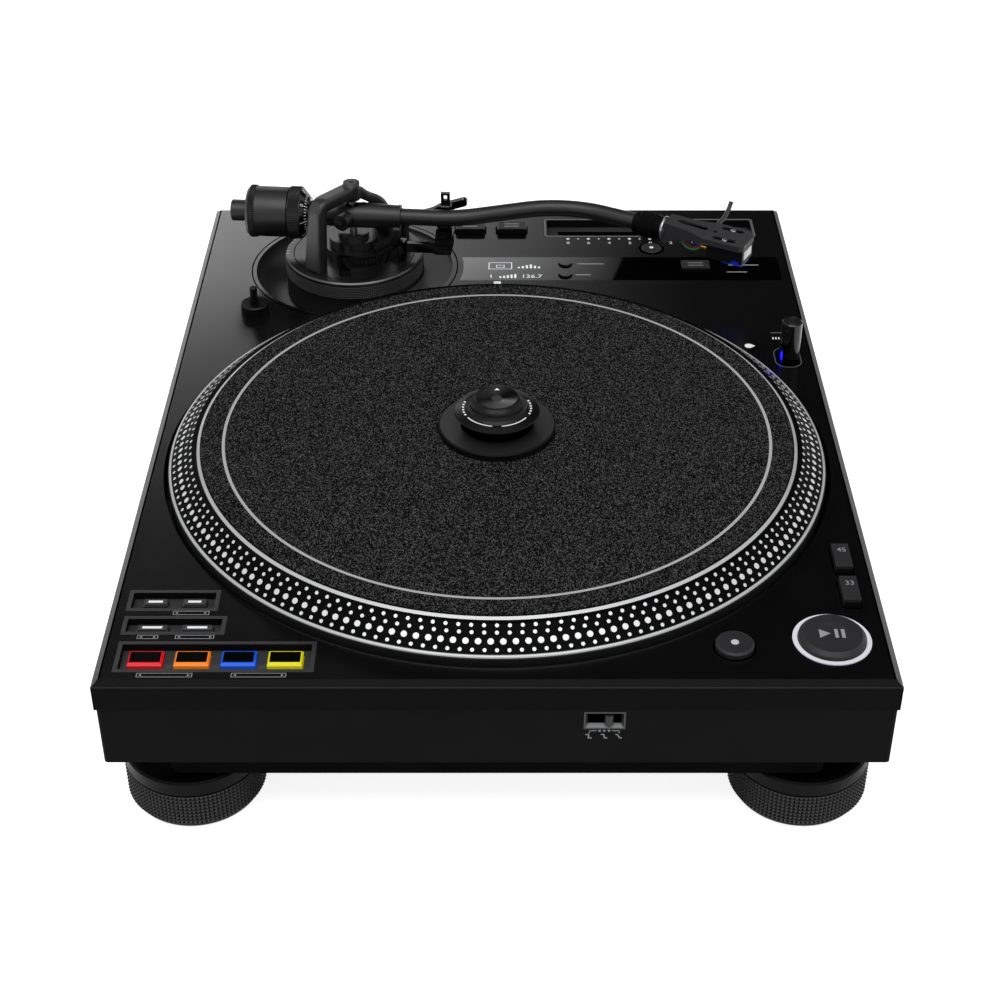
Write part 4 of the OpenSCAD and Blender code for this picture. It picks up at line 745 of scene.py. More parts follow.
def shade_faces(finish: Finish, test: Callable[[bpy.types.MeshPolygon], bool], *nodes: str) -> None:
    """Gives some faces of CAD nodes a second finish.

    Args:
        finish: the surface of those faces.
        test: tells whether a face is one of them.
        *nodes: names of CAD nodes, already dressed.
    """
    for name in nodes:
        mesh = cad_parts[name].data
        mesh.materials.append(finish.material())
        for p in mesh.polygons:
            if test(p):
                p.material_index = len(mesh.materials) - 1


def dress(finish: Finish, *nodes: str) -> None:
    """Gives CAD nodes one finish.

    Args:
        finish: the surface.
        *nodes: names of CAD nodes.
    """
    for name in nodes:
        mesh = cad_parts[name].data
        mesh.materials.clear()
        mesh.materials.append(finish.material())
        LOG.info("node %s: %s", name, finish.name)


# The studio


@dataclass
class Studio:
    """Camera, floor, surroundings and soft lights."""

    eye: Point3 = (0.0, -840.0, 633.0)
    tilt_deg: float = 35.54
    lens: float = 67.46
    sensor: float = 36.0
    shift_x: float = 0.003
    room: float = 0.45
    paper: float = 0.75
    floor_white: float = 0.85
    floor_half: float = 4500.0
    floor_z: float = -0.5
    flag_black: float = 0.004
    flag_y: float = 2010.0
    flag_half: float = 2600.0
    flag_z: Point = (450.0, 3600.0)
    box_y: float = 2000.0
    box_outline: tuple[Point, ...] = ((-1500, 843), (307, 843), (196, 1130), (-1500, 1130))
    fade_x: Point = (-0.7, 0.22)
    fade: Point = (6.8, 0.1)
    dim_z: Point = (1.03, 1.13)
    dim: Point = (1.0, 0.58)
    lamp_at: Point3 = (0.0, -700.0, 1800.0)
    lamp_aim: Point3 = (0.0, -100.0, 100.0)
    lamp_size: Point = (2000.0, 1200.0)
    lamp_watts: float = 26.0

    def camera(self) -> None:
        """Makes the camera that the photo was taken with."""
        data = bpy.data.cameras.new("camera")
        data.lens, data.sensor_width, data.shift_x = self.lens, self.sensor, self.shift_x
        data.clip_start, data.clip_end = 0.01, 50.0
        data.dof.use_dof = False
        made = bpy.data.objects.new("camera", data)
        made.location = Vector(self.eye) * MM
        made.rotation_euler = (math.radians(90 - self.tilt_deg), 0.0, 0.0)
        bpy.context.scene.collection.objects.link(made)
        bpy.context.scene.camera = made

    def direct(self, tree: Tree) -> Socket:
        """Adds a factor that is 1 for camera, glossy and transmission rays.

        Args:
            tree: the node tree to add to.

        Returns:
            The factor's socket.
        """
        path = add(tree, "LightPath").outputs
        shiny = add(tree, "Math", {0: path["Is Glossy Ray"], 1: path["Is Transmission Ray"]}, operation="MAXIMUM")
        return add(tree, "Math", {0: path["Is Camera Ray"], 1: shiny.outputs[0]}, operation="MAXIMUM").outputs[0]

    def surroundings(self) -> None:
        """Makes a world that is white to look at and lights the player softly."""
        world = bpy.data.worlds.new("studio")
        bpy.context.scene.world = world
        world.use_nodes = True
        tree = world.node_tree
        tree.nodes.clear()
        ends = {"Factor": self.direct(tree), 6: grey(self.room), 7: grey(1)}
        seen = add(tree, "Mix", ends, data_type="RGBA")
        back = add(tree, "Background", {"Color": seen.outputs[2], "Strength": 1.0})
        add(tree, "OutputWorld", {"Surface": back.outputs[0]})

    def prop(self, name: str, finish: str, corners: Sequence[Point3]) -> tuple[bpy.types.Object, Tree]:
        """Adds a flat piece of the studio.

        Args:
            name: the piece's name.
            finish: its material's name.
            corners: its corners in order.

        Returns:
            The piece and its material's empty node tree.
        """
        shape, material = Shape(), bpy.data.materials.new(finish)
        shape.face(corners)
        material.use_nodes = True
        material.node_tree.nodes.clear()
        piece = shape.mesh(name, material)
        return piece, material.node_tree

    def floor(self) -> None:
        """Makes a pale floor that stays white in the open and keeps the player's shadow."""
        r, z = self.floor_half, self.floor_z
        _, tree = self.prop("floor", "paper_white_matt", [(-r, -r, z), (r, -r, z), (r, r, z), (-r, r, z)])
        paper = add(tree, "BsdfDiffuse", {"Color": grey(self.paper)})
        power = add(tree, "Math", {0: self.direct(tree), 1: self.floor_white}, operation="MULTIPLY")
        white = add(tree, "Emission", {"Color": grey(1), "Strength": power.outputs[0]})
        both = add(tree, "AddShader", {0: paper.outputs[0], 1: white.outputs[0]})
        add(tree, "OutputMaterial", {"Surface": both.outputs[0]})

    def flag(self) -> None:
        """Makes the black cloth behind the softbox that the deck mirrors."""
        x, y, (low, high) = self.flag_half, self.flag_y, self.flag_z
        corners = [(-x, y, low), (x, y, low), (x, y, high), (-x, y, high)]
        piece, tree = self.prop("flag", "cloth_black_velvet", corners)
        cloth = add(tree, "BsdfDiffuse", {"Color": grey(self.flag_black)})
        add(tree, "OutputMaterial", {"Surface": cloth.outputs[0]})
        piece.visible_camera = piece.visible_diffuse = piece.visible_shadow = False

    def overhead(self) -> None:
        """Adds the soft light over the player."""
        data = bpy.data.lights.new("overhead", "AREA")
        data.shape, data.energy = "RECTANGLE", self.lamp_watts
        data.size, data.size_y = (side * MM for side in self.lamp_size)
        made = bpy.data.objects.new("overhead", data)
        made.location = Vector(self.lamp_at) * MM
        made.rotation_euler = (Vector(self.lamp_aim) - Vector(self.lamp_at)).to_track_quat("-Z", "Y").to_euler()
        made.visible_camera = False
        bpy.context.scene.collection.objects.link(made)

    def softbox(self) -> None:
        """Makes the rear softbox whose slanted edge shows in the display strip."""
        _, tree = self.prop("softbox", "cloth_softbox_lit", [(x, self.box_y, z) for x, z in self.box_outline])
        spot = add(tree, "SeparateXYZ", {0: add(tree, "TexCoord").outputs["Object"]}).outputs
        shares = []
        for axis, (near, far), (first, last) in (("X", self.fade_x, self.fade), ("Z", self.dim_z, self.dim)):
            ends = {"From Min": near, "From Max": far, "To Min": first, "To Max": last}
            shares.append(add(tree, "MapRange", {"Value": spot[axis], **ends}).outputs["Result"])
        power = add(tree, "Math", dict(enumerate(shares)), operation="MULTIPLY")
        lit = add(tree, "Emission", {"Color": grey(1), "Strength": power.outputs[0]})
        add(tree, "OutputMaterial", {"Surface": lit.outputs[0]})

    def build(self) -> None:
        """Makes the whole studio, the camera first."""
        self.camera()
        self.surroundings()
        self.floor()
        self.softbox()
        self.flag()
        self.overhead()
        LOG.info("studio built")


# Sub-assemblies


@dataclass
class Body:
    """Deck, cabinet, base and feet, with their printed marks."""

    half_w: float = 176.5
    half_l: float = 226.5
    front: float = -225.9
    bowl_r: float = 61.0
    bowl_deep: float = 25.0
    foot_at: Point = (143.0, 187.0)
    foot_knurl: Knurl = Knurl(32.2, (4.5, 21.4), around=100, rows=8, depth=0.8)
    brake_at: Point = (47.4, -21.9)
    brake_size: Point = (19.0, 10.4)
    brake_deep: float = -2.36
    bevel: Point = (2.95, 2.3)
    # Labels: middle, width and length of each printed frame.
    labels: tuple[tuple[float, float, float, float], ...] = (
        (-138.8, -177.9, 16.4, 2.8),
        (-156.0, -194.9, 9.4, 2.6),
        (-135.0, -194.9, 17.4, 2.6),
        (-144.9, -220.8, 24.4, 2.8),
        (-103.8, -220.8, 24.0, 2.8),
    )

    def dress(self) -> None:
        """Gives the body's CAD nodes their finishes."""
        dress(Paint.LACQUER, "top_panel")
        shade_faces(Paint.SKIRT, lambda p: abs(p.normal.z) < 0.5, "top_panel")
        shade_faces(Paint.BOWL, self.in_bowl, "top_panel")
        dress(Paint.MOULDING, "lower_cabinet", "rear_sockets")
        dress(Paint.DULL, "base_plate")
        dress(Paint.FOOT, "foot_front_left", "foot_front_right", "foot_rear_left", "foot_rear_right")
        dress(Paint.STEEL, "base_screws")
        dress(Paint.BOARD, "circuit_boards")
        dress(Paint.DIAL, "headshell_stand")
        dress(Paint.KEY, "brake_knob")

    def in_bowl(self, face: bpy.types.MeshPolygon) -> bool:
        """Tells whether a face of the deck lies in the arm's bowl; takes the face."""
        x, y, z = (c / MM for c in face.center)
        return math.hypot(x - PIVOT[0], y - PIVOT[1]) < self.bowl_r and DECK - self.bowl_deep < z < DECK - 0.05

    def knurls(self) -> None:
        """Adds the pointed knurl round each foot, its upper sides in a painted highlight."""
        for end, sy in (("front", -1), ("rear", 1)):
            for side, sx in (("left", -1), ("right", 1)):
                place = (sx * self.foot_at[0], sy * self.foot_at[1], 0)
                # The upper sides take a painted highlight; the others keep the feet's own colour.
                for part, sides, finish in (("shade", Side.SHADE, Paint.FOOT), ("light", Side.LIGHT, Paint.FOOT_KNURL)):
                    shape = Shape()
                    shape.knurl(self.foot_knurl, place, Axis.UP, sides)
                    shape.done(f"knurl_{part}_{end}_{side}", f"foot_{end}_{side}", finish, "foot_black")

    def border(self) -> None:
        """Adds the bevel along the deck's sides and front, pale as painted sheen, and the dark seams on the deck."""
        seam, end, (inset, drop) = Shape(), self.half_l - 3.0, self.bevel
        high, low, z = DECK + 0.05, DECK - drop, DECK + GAP_LIFT
        # Painted sheen: each side strip's colour fades from the front to the back.
        for name, side, finish in (("left", -1, Paint.BORDER_LEFT), ("right", 1, Paint.BORDER_RIGHT)):
            strip, top, foot = Shape(), side * (self.half_w - inset), side * (self.half_w - 0.05)
            near, far = -side * end, side * end
            strip.face([(top, near, high), (foot, near, low), (foot, far, low), (top, far, high)])
            strip.done(f"deck_border_{name}", "chassis", finish, "deck_lacquer")
            seam.bar((side * (self.half_w - 3.4), 0), (0.8, 2 * self.half_l - 7), z)
        # Painted sheen: the front bevel is a little lighter than the deck.
        front, top, foot = Shape(), inset - self.half_l, 0.05 - self.half_l
        front.face([(-173.5, top, high), (-176.4, foot, low), (176.4, foot, low), (173.5, top, high)])
        front.done("deck_bevel", "chassis", Paint.BEVEL, "deck_lacquer")
        seam.ring(PIVOT, self.bowl_r - 0.3, self.bowl_r + 0.4, z, span=(-33, 260), count=120)
        seam.done("deck_seam", "chassis", Paint.GAP, "deck_lacquer")

    def brake_window(self, place: Matrix) -> None:
        """Adds the brake slider's floor in painted shadow, its frame, and the sill as a pale painted highlight.

        Args:
            place: the frame of the body's front face.
        """
        (w, l), z, deep = self.brake_size, self.brake_at[1], self.brake_deep
        floor, rim, sill = Shape(place), Shape(place), Shape(place)
        # Painted shadow: the recess's floor is flat black.
        floor.bar((0, z), (w, l), deep)
        floor.done("brake_floor_painted_shadow", "chassis", Paint.GAP, "gloss_black")
        rim.frame_line((0, z), (w - 0.5, l - 0.3), 0.9, 0)
        mouth, back, tall, short = w / 2 - 1.1, w / 2 - 2.2, 3.9, 3.6
        for s in (-1, 1):
            outer = [(s * mouth, z - s * tall, 0), (s * mouth, z + s * tall, 0)]
            rim.face(outer + [(s * back, z + s * short, deep), (s * back, z - s * short, deep)])
        rim.done("brake_rim", "chassis", Paint.TRAY, "tray_grey")
        # Painted highlight: the pale sill stands for the lit lower edge of the recess.
        low, high, back, deep = z - 4.1, z - 3.3, w / 2 - 1.9, deep + 0.1
        sill.face([(-mouth, low, 0), (mouth, low, 0), (back, high, deep), (-back, high, deep)])
        sill.done("brake_sill_painted_highlight", "chassis", Paint.INK_GREY, "tray_grey")

    def brake_signs(self, place: Matrix) -> None:
        """Adds the dotted rule and the three signs under the window.

        Args:
            place: the frame of the body's front face.
        """
        shape, row, ink, dot = Shape(place), -27.85, 0.45, 0.6
        for side in (-1, 1):
            shape.bar((side * 5.1, row), (3.4, ink), 0)
            shape.bar((side * 6.6, -28.45), (ink, 1.6), 0)
            shape.disc((side * 2.05, row, 0), dot, 12)
        shape.disc((0, row, 0), dot, 12)
        top, low, line, half, stroke = -29.75, -32.45, 0.62, 1.45, 0.33
        for x, lean in ((-6.9, 0.0), (0.0, 0.36), (6.4, 0.78)):
            a, b = x - lean, x + lean
            shape.flat([(x - half, top - line), (a, top - line), (a, top), (x - half, top)], 0)
            shape.flat([(b, low), (x + half, low), (x + half, low + line), (b, low + line)], 0)
            shape.flat([(b - stroke, low), (b + stroke, low), (a + stroke, top), (a - stroke, top)], 0.01)
        shape.done("brake_marks", "chassis", Paint.INK_GREY, "light_ring")

    def deck_marks(self) -> None:
        """Adds the marks printed on the deck."""
        z, white, pale = DECK + INK_LIFT, Shape(), Shape()
        white.bar((0.2, 129.2), (4.1, 4.4), z)
        drop = [(143.6, 57.8)] + [polar((140, 57.8), 2.3, math.radians(a)) for a in range(50, 311, 20)]
        white.flat(drop, z)
        for i in range(4):
            x = 154.5 + 1.6 * i
            white.bar((x, 66.0), (0.7, 2.2), z)
            pale.disc((x, 72.0, z), 0.45, 8)
        for unit in range(-8, 9):
            x, even = 93.4 + 6.26 * unit, unit % 2 == 0
            white.disc((x, 184.9, z), 1.0 if even else 0.55, 12)
            if even:
                white.digits(str(abs(unit)), 2.9, (x, 179.6, z))
        for x, y, w, l in self.labels:
            pale.frame_line((x, y), (w, l), 0.3, z)
            for side in (-1, 1):
                tip, foot = x + side * (w / 2 - 1.0), x + side * (w / 2 - 2.2)
                arrow = [(tip, y), (foot, y + 0.7), (foot, y - 0.7)]
                pale.flat(arrow[::-1] if side < 0 else arrow, z)
        white.done("deck_marks_white", "chassis", Paint.INK, "light_ring")
        pale.done("deck_marks_grey", "chassis", Paint.INK_GREY, "light_ring")

    def build(self) -> None:
        """Dresses the body and adds its pieces."""
        self.dress()
        self.knurls()
        self.border()
        upright = Matrix.Rotation(math.pi / 2, 4, "X")
        place = Matrix.Translation((self.brake_at[0], self.front - INK_LIFT, DECK)) @ upright
        self.brake_window(place)
        self.brake_signs(place)
        self.deck_marks()


@dataclass(frozen=True)
class DotRow:
    """A row of strobe dots: share of the slope, number, radius, and shift in steps."""

    share: float
    count: int
    radius: float = 0.9
    shift: float = 0.0


@dataclass
class Platter:
    """Platter with its strobe dots, slipmat and the clamp on the spindle."""

    top_r: float = 153.5
    top_z: float = 12.5
    rim_r: float = 166.0
    rim_z: float = 2.5
    band_in: float = 151.2
    band_out: float = 0.85
    edge_in: tuple[Point, ...] = ((149.35, 0.85), (150.9, 0.1))
    edge_out: Point = (0.87, 0.965)
    mat_z: float = 14.1
    mat_line: Point = (136.8, 138.3)
    # Clamp: flange, gap and drum up to the dial's scale, and the cap over it.
    clamp_steps: Point3 = (3.7, 0.3, 8.7)
    cap: float = 6.8
    rows: tuple[DotRow, ...] = (DotRow(0.04, 170), DotRow(0.245, 176), DotRow(0.49, 181, 1.45, 0.5), DotRow(0.735, 187))

    def slope(self, share: float) -> Point:
        """Returns radius and height over the deck at a share of the strobe cone, 0 at its top."""
        return (self.top_r + share * (self.rim_r - self.top_r), self.top_z + share * (self.rim_z - self.top_z))

    def strobe(self) -> None:
        """Adds the black band, its bright dots and the bright edges."""
        band, dots, edges = Shape(), Shape(), Shape()
        lift, z, foot, low = 0.05, self.top_z, (*SPINDLE, DECK), self.slope(self.band_out)
        profile = [(self.band_in, z + lift), (self.top_r, z + lift), (low[0] + lift, low[1] + lift)]
        band.lathe(profile, foot, count=180)
        band.done("strobe_band", "platter", Paint.BAND, "cast_aluminium")
        rise, run = self.top_z - self.rim_z, self.rim_r - self.top_r
        size = math.hypot(rise, run)
        for row in self.rows:
            r, h = self.slope(row.share)
            for i in range(row.count):
                a = math.radians(270 + 360 * (i + row.shift) / row.count)
                normal = Vector((rise / size * math.cos(a), rise / size * math.sin(a), run / size))
                middle = Vector((*polar(SPINDLE, r, a), DECK + h)) + normal * (lift + INK_LIFT)
                dots.disc(tuple(middle), row.radius, 12, normal)
        dots.done("strobe_dots", "platter", Paint.DOT, "cast_aluminium")
        edges.lathe([(r, z + h) for r, h in self.edge_in], foot, count=240)
        top, end = (self.slope(share) for share in self.edge_out)
        crown = ((top[0] + end[0]) / 2 + 0.35, (top[1] + end[1]) / 2 + 0.4)
        edges.lathe([top, crown, end], foot, count=240)
        edges.done("platter_edges", "platter", Paint.EDGE, "cast_aluminium", smooth=True)

    def mat(self) -> None:
        """Adds the ring line on the slipmat."""
        line = Shape()
        line.ring(SPINDLE, *self.mat_line, DECK + self.mat_z + INK_LIFT, count=240)
        line.done("slipmat_line", "slipmat", Paint.FELT_INK, "mat_felt")

    def clamp(self) -> None:
        """Adds the torque dial's marks and its spun dish."""
        marks, dish, hub = Shape(), Shape(), Shape()
        drum = DECK + self.mat_z + sum(self.clamp_steps)
        top, scale = drum + self.cap, drum + INK_LIFT
        for first, last in ((212, 262), (278, 328)):
            marks.ring(SPINDLE, 16.75, 17.45, scale, span=(first, last), count=24)
        for first in (*range(160, 201, 8), *range(-20, 21, 8)):
            marks.ring(SPINDLE, 16.6, 17.6, scale, span=(first, first + 4), count=2)
        marks.flat([(x, SPINDLE[1] + y) for x, y in ((-1.3, 6.4), (1.3, 6.4), (0, 8.4))], top - 0.42)
        marks.done("torque_marks", "torque_dial", Paint.INK, "light_ring")
        dish.lathe([(10.35, top - 0.36), (2.7, top - 1.25)], (*SPINDLE, 0))
        dish.done("torque_dish", "torque_dial", Paint.SPUN, "gloss_black", smooth=True)
        hub.disc((*SPINDLE, top - 1.24), 2.72, 32)
        hub.done("torque_hub", "torque_dial", Paint.ANODISED, "gloss_black")

    def build(self) -> None:
        """Dresses the platter and adds its pieces."""
        # Painted shade: the platter's aluminium is dimmed for its rim wall.
        dress(Paint.TURNED, "platter")
        dress(Paint.FELT, "slipmat")
        dress(Paint.STEEL, "rotor")
        dress(Paint.BRASS, "bearing_housing")
        dress(Paint.COPPER, "stator")
        dress(Paint.CLAMP, "clamp_base")
        dress(Paint.DIAL, "torque_dial")
        # Painted shade: the clamp's sides and lower faces take the dark flank finish.
        shade_faces(Paint.KEY_SIDE, lambda p: p.normal.z < 0.9, "clamp_base")
        # Painted shadow: the torque dial's upright faces below its scale are flat black.
        drum_top = (DECK + 26) * MM
        shade_faces(Paint.GAP, lambda p: abs(p.normal.z) < 0.2 and p.center.z < drum_top, "torque_dial")
        self.strobe()
        self.mat()
        self.clamp()


@dataclass
class Controls:
    """Trays, pads, buttons, display, tempo slider and lamp."""

    pad_y: float = -207.1
    pad_first: float = -155.3
    pad_pitch: float = 20.6
    pad_size: Point = (15.6, 10.0)
    tempo_at: Point = (93.75, 199.55)
    tempo_size: Point = (129.9, 24.3)
    tempo_groove: Point3 = (112.0, 4.2, -4.95)
    start_at: Point = (149.3, -196.8)
    motor_at: Point = (105.3, -202.0)
    reset_at: Point = (93.5, 172.4)
    needle_at: Point = (118.2, 150.6)
    flat_keys: tuple[str, ...] = ("speed_33_button", "speed_45_button", "step_pitch_button", "tempo_range_button")

    def dress(self) -> None:
        """Gives the controls' CAD nodes their finishes."""
        floor = (DECK - 1) * MM
        dress(Paint.TRAY, "control_trays")
        shade_faces(Paint.TRAY_FLOOR, lambda p: p.normal.z > 0.9 and p.center.z < floor, "control_trays")
        # Painted shade: the trays' walls take the dark flank finish.
        shade_faces(Paint.KEY_SIDE, lambda p: abs(p.normal.z) < 0.5, "control_trays")
        dress(Paint.WINDOW, "display_window", "application_button", "deck_button")
        dress(Paint.MILK, "start_ring")
        dress(Paint.KEY, "start_button", "motor_off_button", "reset_button", *self.flat_keys, "tempo_knob")
        dress(Paint.KEY_GREY, "shift_button", "doubles_button", "hot_cue_button", "sampler_button")
        dress(Paint.GLOSS, "target_lamp")
        dress(Paint.KEY_DARK, "needle_mode_button")
        # Painted shade: the buttons' front faces take the dark flank finish.
        shade_faces(Paint.KEY_SIDE, lambda p: p.normal.y < -0.2, "application_button", "deck_button", *self.flat_keys)

    def pads(self) -> None:
        """Adds the coloured skirts and black caps of the pads."""
        w, l = self.pad_size
        for i, (colour, finish) in enumerate(Paint.PADS.items()):
            body, x, y = f"pad_{i + 1}", self.pad_first + i * self.pad_pitch, self.pad_y
            dress(finish, body)
            skirt, cap = Shape(), Shape()
            skirt.frustum((x, y), (w - 0.1, l - 0.1, DECK - 2.38), (w - 1.3, l - 2.0, DECK - 1.39))
            skirt.done(f"pad_skirt_{i + 1}", body, finish, f"pad_{colour}")
            cap.bar((x, y + 0.15), (w - 2.0, l - 3.0), DECK - 1.33)
            cap.done(f"pad_cap_{i + 1}", body, Paint.GLOSS, "gloss_black")

    def key_signs(self) -> None:
        """Adds the numbers, sign and lights on the buttons."""
        z, (x, y) = DECK + INK_LIFT, self.start_at
        for name, number, row in (("speed_45_button", "45", -135.6), ("speed_33_button", "33", -160.9)):
            mark = Shape()
            mark.digits(number, 3.2, (162.2, row, z + 4.0))
            mark.done(f"{name}_number", name, Paint.INK_GREY, "light_ring")
        start, led, dot = Shape(), Shape(), Shape()
        start.flat([(x - 6, y - 3), (x - 1, y), (x - 6, y + 3)], z + 3.62)
        for step in (1.6, 4.6):
            start.bar((x + step, y), (1.6, 6), z + 3.62)
        start.done("start_sign", "start_button", Paint.INK_GREY, "light_ring")
        led.disc((*self.motor_at, z + 3.0), 1.8, 24)
        led.done("motor_light", "motor_off_button", Paint.LED, "light_ring")
        dot.disc((*self.reset_at, z + 0.8), 1.3, 16)
        dot.done("reset_dot", "reset_button", Paint.INK, "light_ring")

    def key_bars(self) -> None:
        """Adds the bars that stand for the buttons' labels."""
        z = DECK + INK_LIFT
        for piece, name, (x, y), half, lift in (
            ("step_pitch_button_bars", "step_pitch_button", (-16.4, 196.6), 1.6, 3.4),
            ("tempo_range_button_bars", "tempo_range_button", (9.0, 196.6), 1.6, 3.4),
            ("needle_bars", "needle_mode_button", self.needle_at, 1.5, 1.2),
        ):
            mark = Shape()
            for side in (-1, 1):
                mark.bar((x, y + side * half), (9.0, 0.9), z + lift)
            mark.done(piece, name, Paint.INK_GREY, "light_ring")
        for name, x, y, w in (
            ("shift_button", -156.5, -167.9, 6.5),
            ("doubles_button", -138.6, -167.9, 6.0),
            ("hot_cue_button", -155.3, -186.45, 9.0),
            ("sampler_button", -135.05, -186.45, 9.0),
        ):
            mark = Shape()
            mark.bar((x, y), (w, 1.5), z - 1.4)
            mark.done(f"{name}_bar", name, Paint.INK, "light_ring")

    def gaps(self) -> None:
        """Adds the painted shadow in the clearance round the buttons, the tempo recess's lip as a painted highlight,
        its groove, and the lamp pocket's lip.
        """
        z, gap, (x, y), (w, l) = DECK + GAP_LIFT, 0.9, self.tempo_at, self.tempo_size
        dark, lip, pocket = Shape(), Shape(), Shape()
        # Painted shadow: flat black lines and rings stand for the clearance round the buttons; the bar is the tempo
        # groove.
        for centre, (wide, long) in (
            ((161.9, -139.5), (7.8, 19.3)),
            ((161.9, -164.4), (7.8, 19.3)),
            ((-16.4, 196.2), (18.0, 9.5)),
            ((9.0, 196.2), (18.0, 9.5)),
            (self.needle_at, (16.8, 9.7)),
        ):
            dark.rounded_line(centre, (wide + 2 * gap, long + 2 * gap), 1.6, gap, z)
        dark.ring(self.motor_at, 8.7, 9.7, z, count=48)
        dark.ring(self.reset_at, 6.0, 7.7, z, count=48)
        dark.bar((x, y + 2.0), self.tempo_groove[:2], DECK + self.tempo_groove[2])
        dark.done("button_gaps_painted_shadow", "chassis", Paint.GAP, "gloss_black")
        # Painted highlight: a pale line stands for the lit lip round the tempo recess.
        lip.rounded_line((x, y), (w - 0.6, l - 0.6), 2.0, 1.2, z)
        lip.done("tempo_lip_painted_highlight", "chassis", Paint.LIP, "tray_grey")
        # Painted highlight: a pale line stands for the lit lip of the lamp's pocket.
        pocket.rounded_line((160.0, 45.4), (14.6, 21.0), 6.4, 0.45, z)
        pocket.done("lamp_pocket_lip_painted_highlight", "chassis", Paint.LIP, "tray_grey")

    def display(self) -> None:
        """Adds the lit signs of the display and the marks beside it."""
        z, lit, marks = DECK + 0.03, Shape(), Shape()
        lit.frame_line((2.0, 150.6), (14.0, 8.4), 0.5, z)
        lit.frame_line((2.0, 150.0), (5.0, 3.2), 0.4, z)
        for i, h in enumerate((1.6, 2.6, 3.6, 4.6, 3.0, 2.0)):
            lit.bar((13.0 + 2.4 * i, 147.6 + h / 2), (1.3, h), z)
        for text, x in (("1", -3.5), ("126.7", 20.5)):
            lit.digits(text, 4.0, (x, 137.6, z))
        for i in range(5):
            lit.bar((2.0 + 2.2 * i, 136.6 + 0.35 * i), (1.2, 2.0 + 0.7 * i), z)
        lit.done("display_signs", "chassis", Paint.LCD, "display_gloss")
        for x, y, w in ((55.8, 153.0, 16.0), (51.0, 139.5, 9.0), (147.0, 151.6, 18.0), (142.3, 143.0, 12.0)):
            marks.bar((x, y), (w, 1.1), z)
        marks.done("display_marks", "chassis", Paint.INK_GREY, "light_ring")

    def lamp(self) -> None:
        """Adds the lamp's spun top and its blue lens."""
        top, heading = Shape(), Matrix.Rotation(math.radians(200), 4, "Z")
        top.disc((*LAMP_AT, DECK + 23.53), 4.9, 48)
        top.done("lamp_top", "target_lamp", Paint.LAMP, "gloss_black")
        lens = Shape(Matrix.Translation((*LAMP_AT, DECK + 2.4)) @ heading)
        turn = [2 * math.pi * i / 24 for i in range(24)]
        lens.face([(4.4, 1.4 * math.cos(a), 2.9 * math.sin(a)) for a in turn])
        lens.done("lamp_lens", "target_lamp", Paint.BLUE, "stylus_blue")

    def build(self) -> None:
        """Dresses the controls and adds their pieces."""
        self.dress()
        self.pads()
        self.key_signs()
        self.key_bars()
        self.gaps()
        self.display()
        self.lamp()


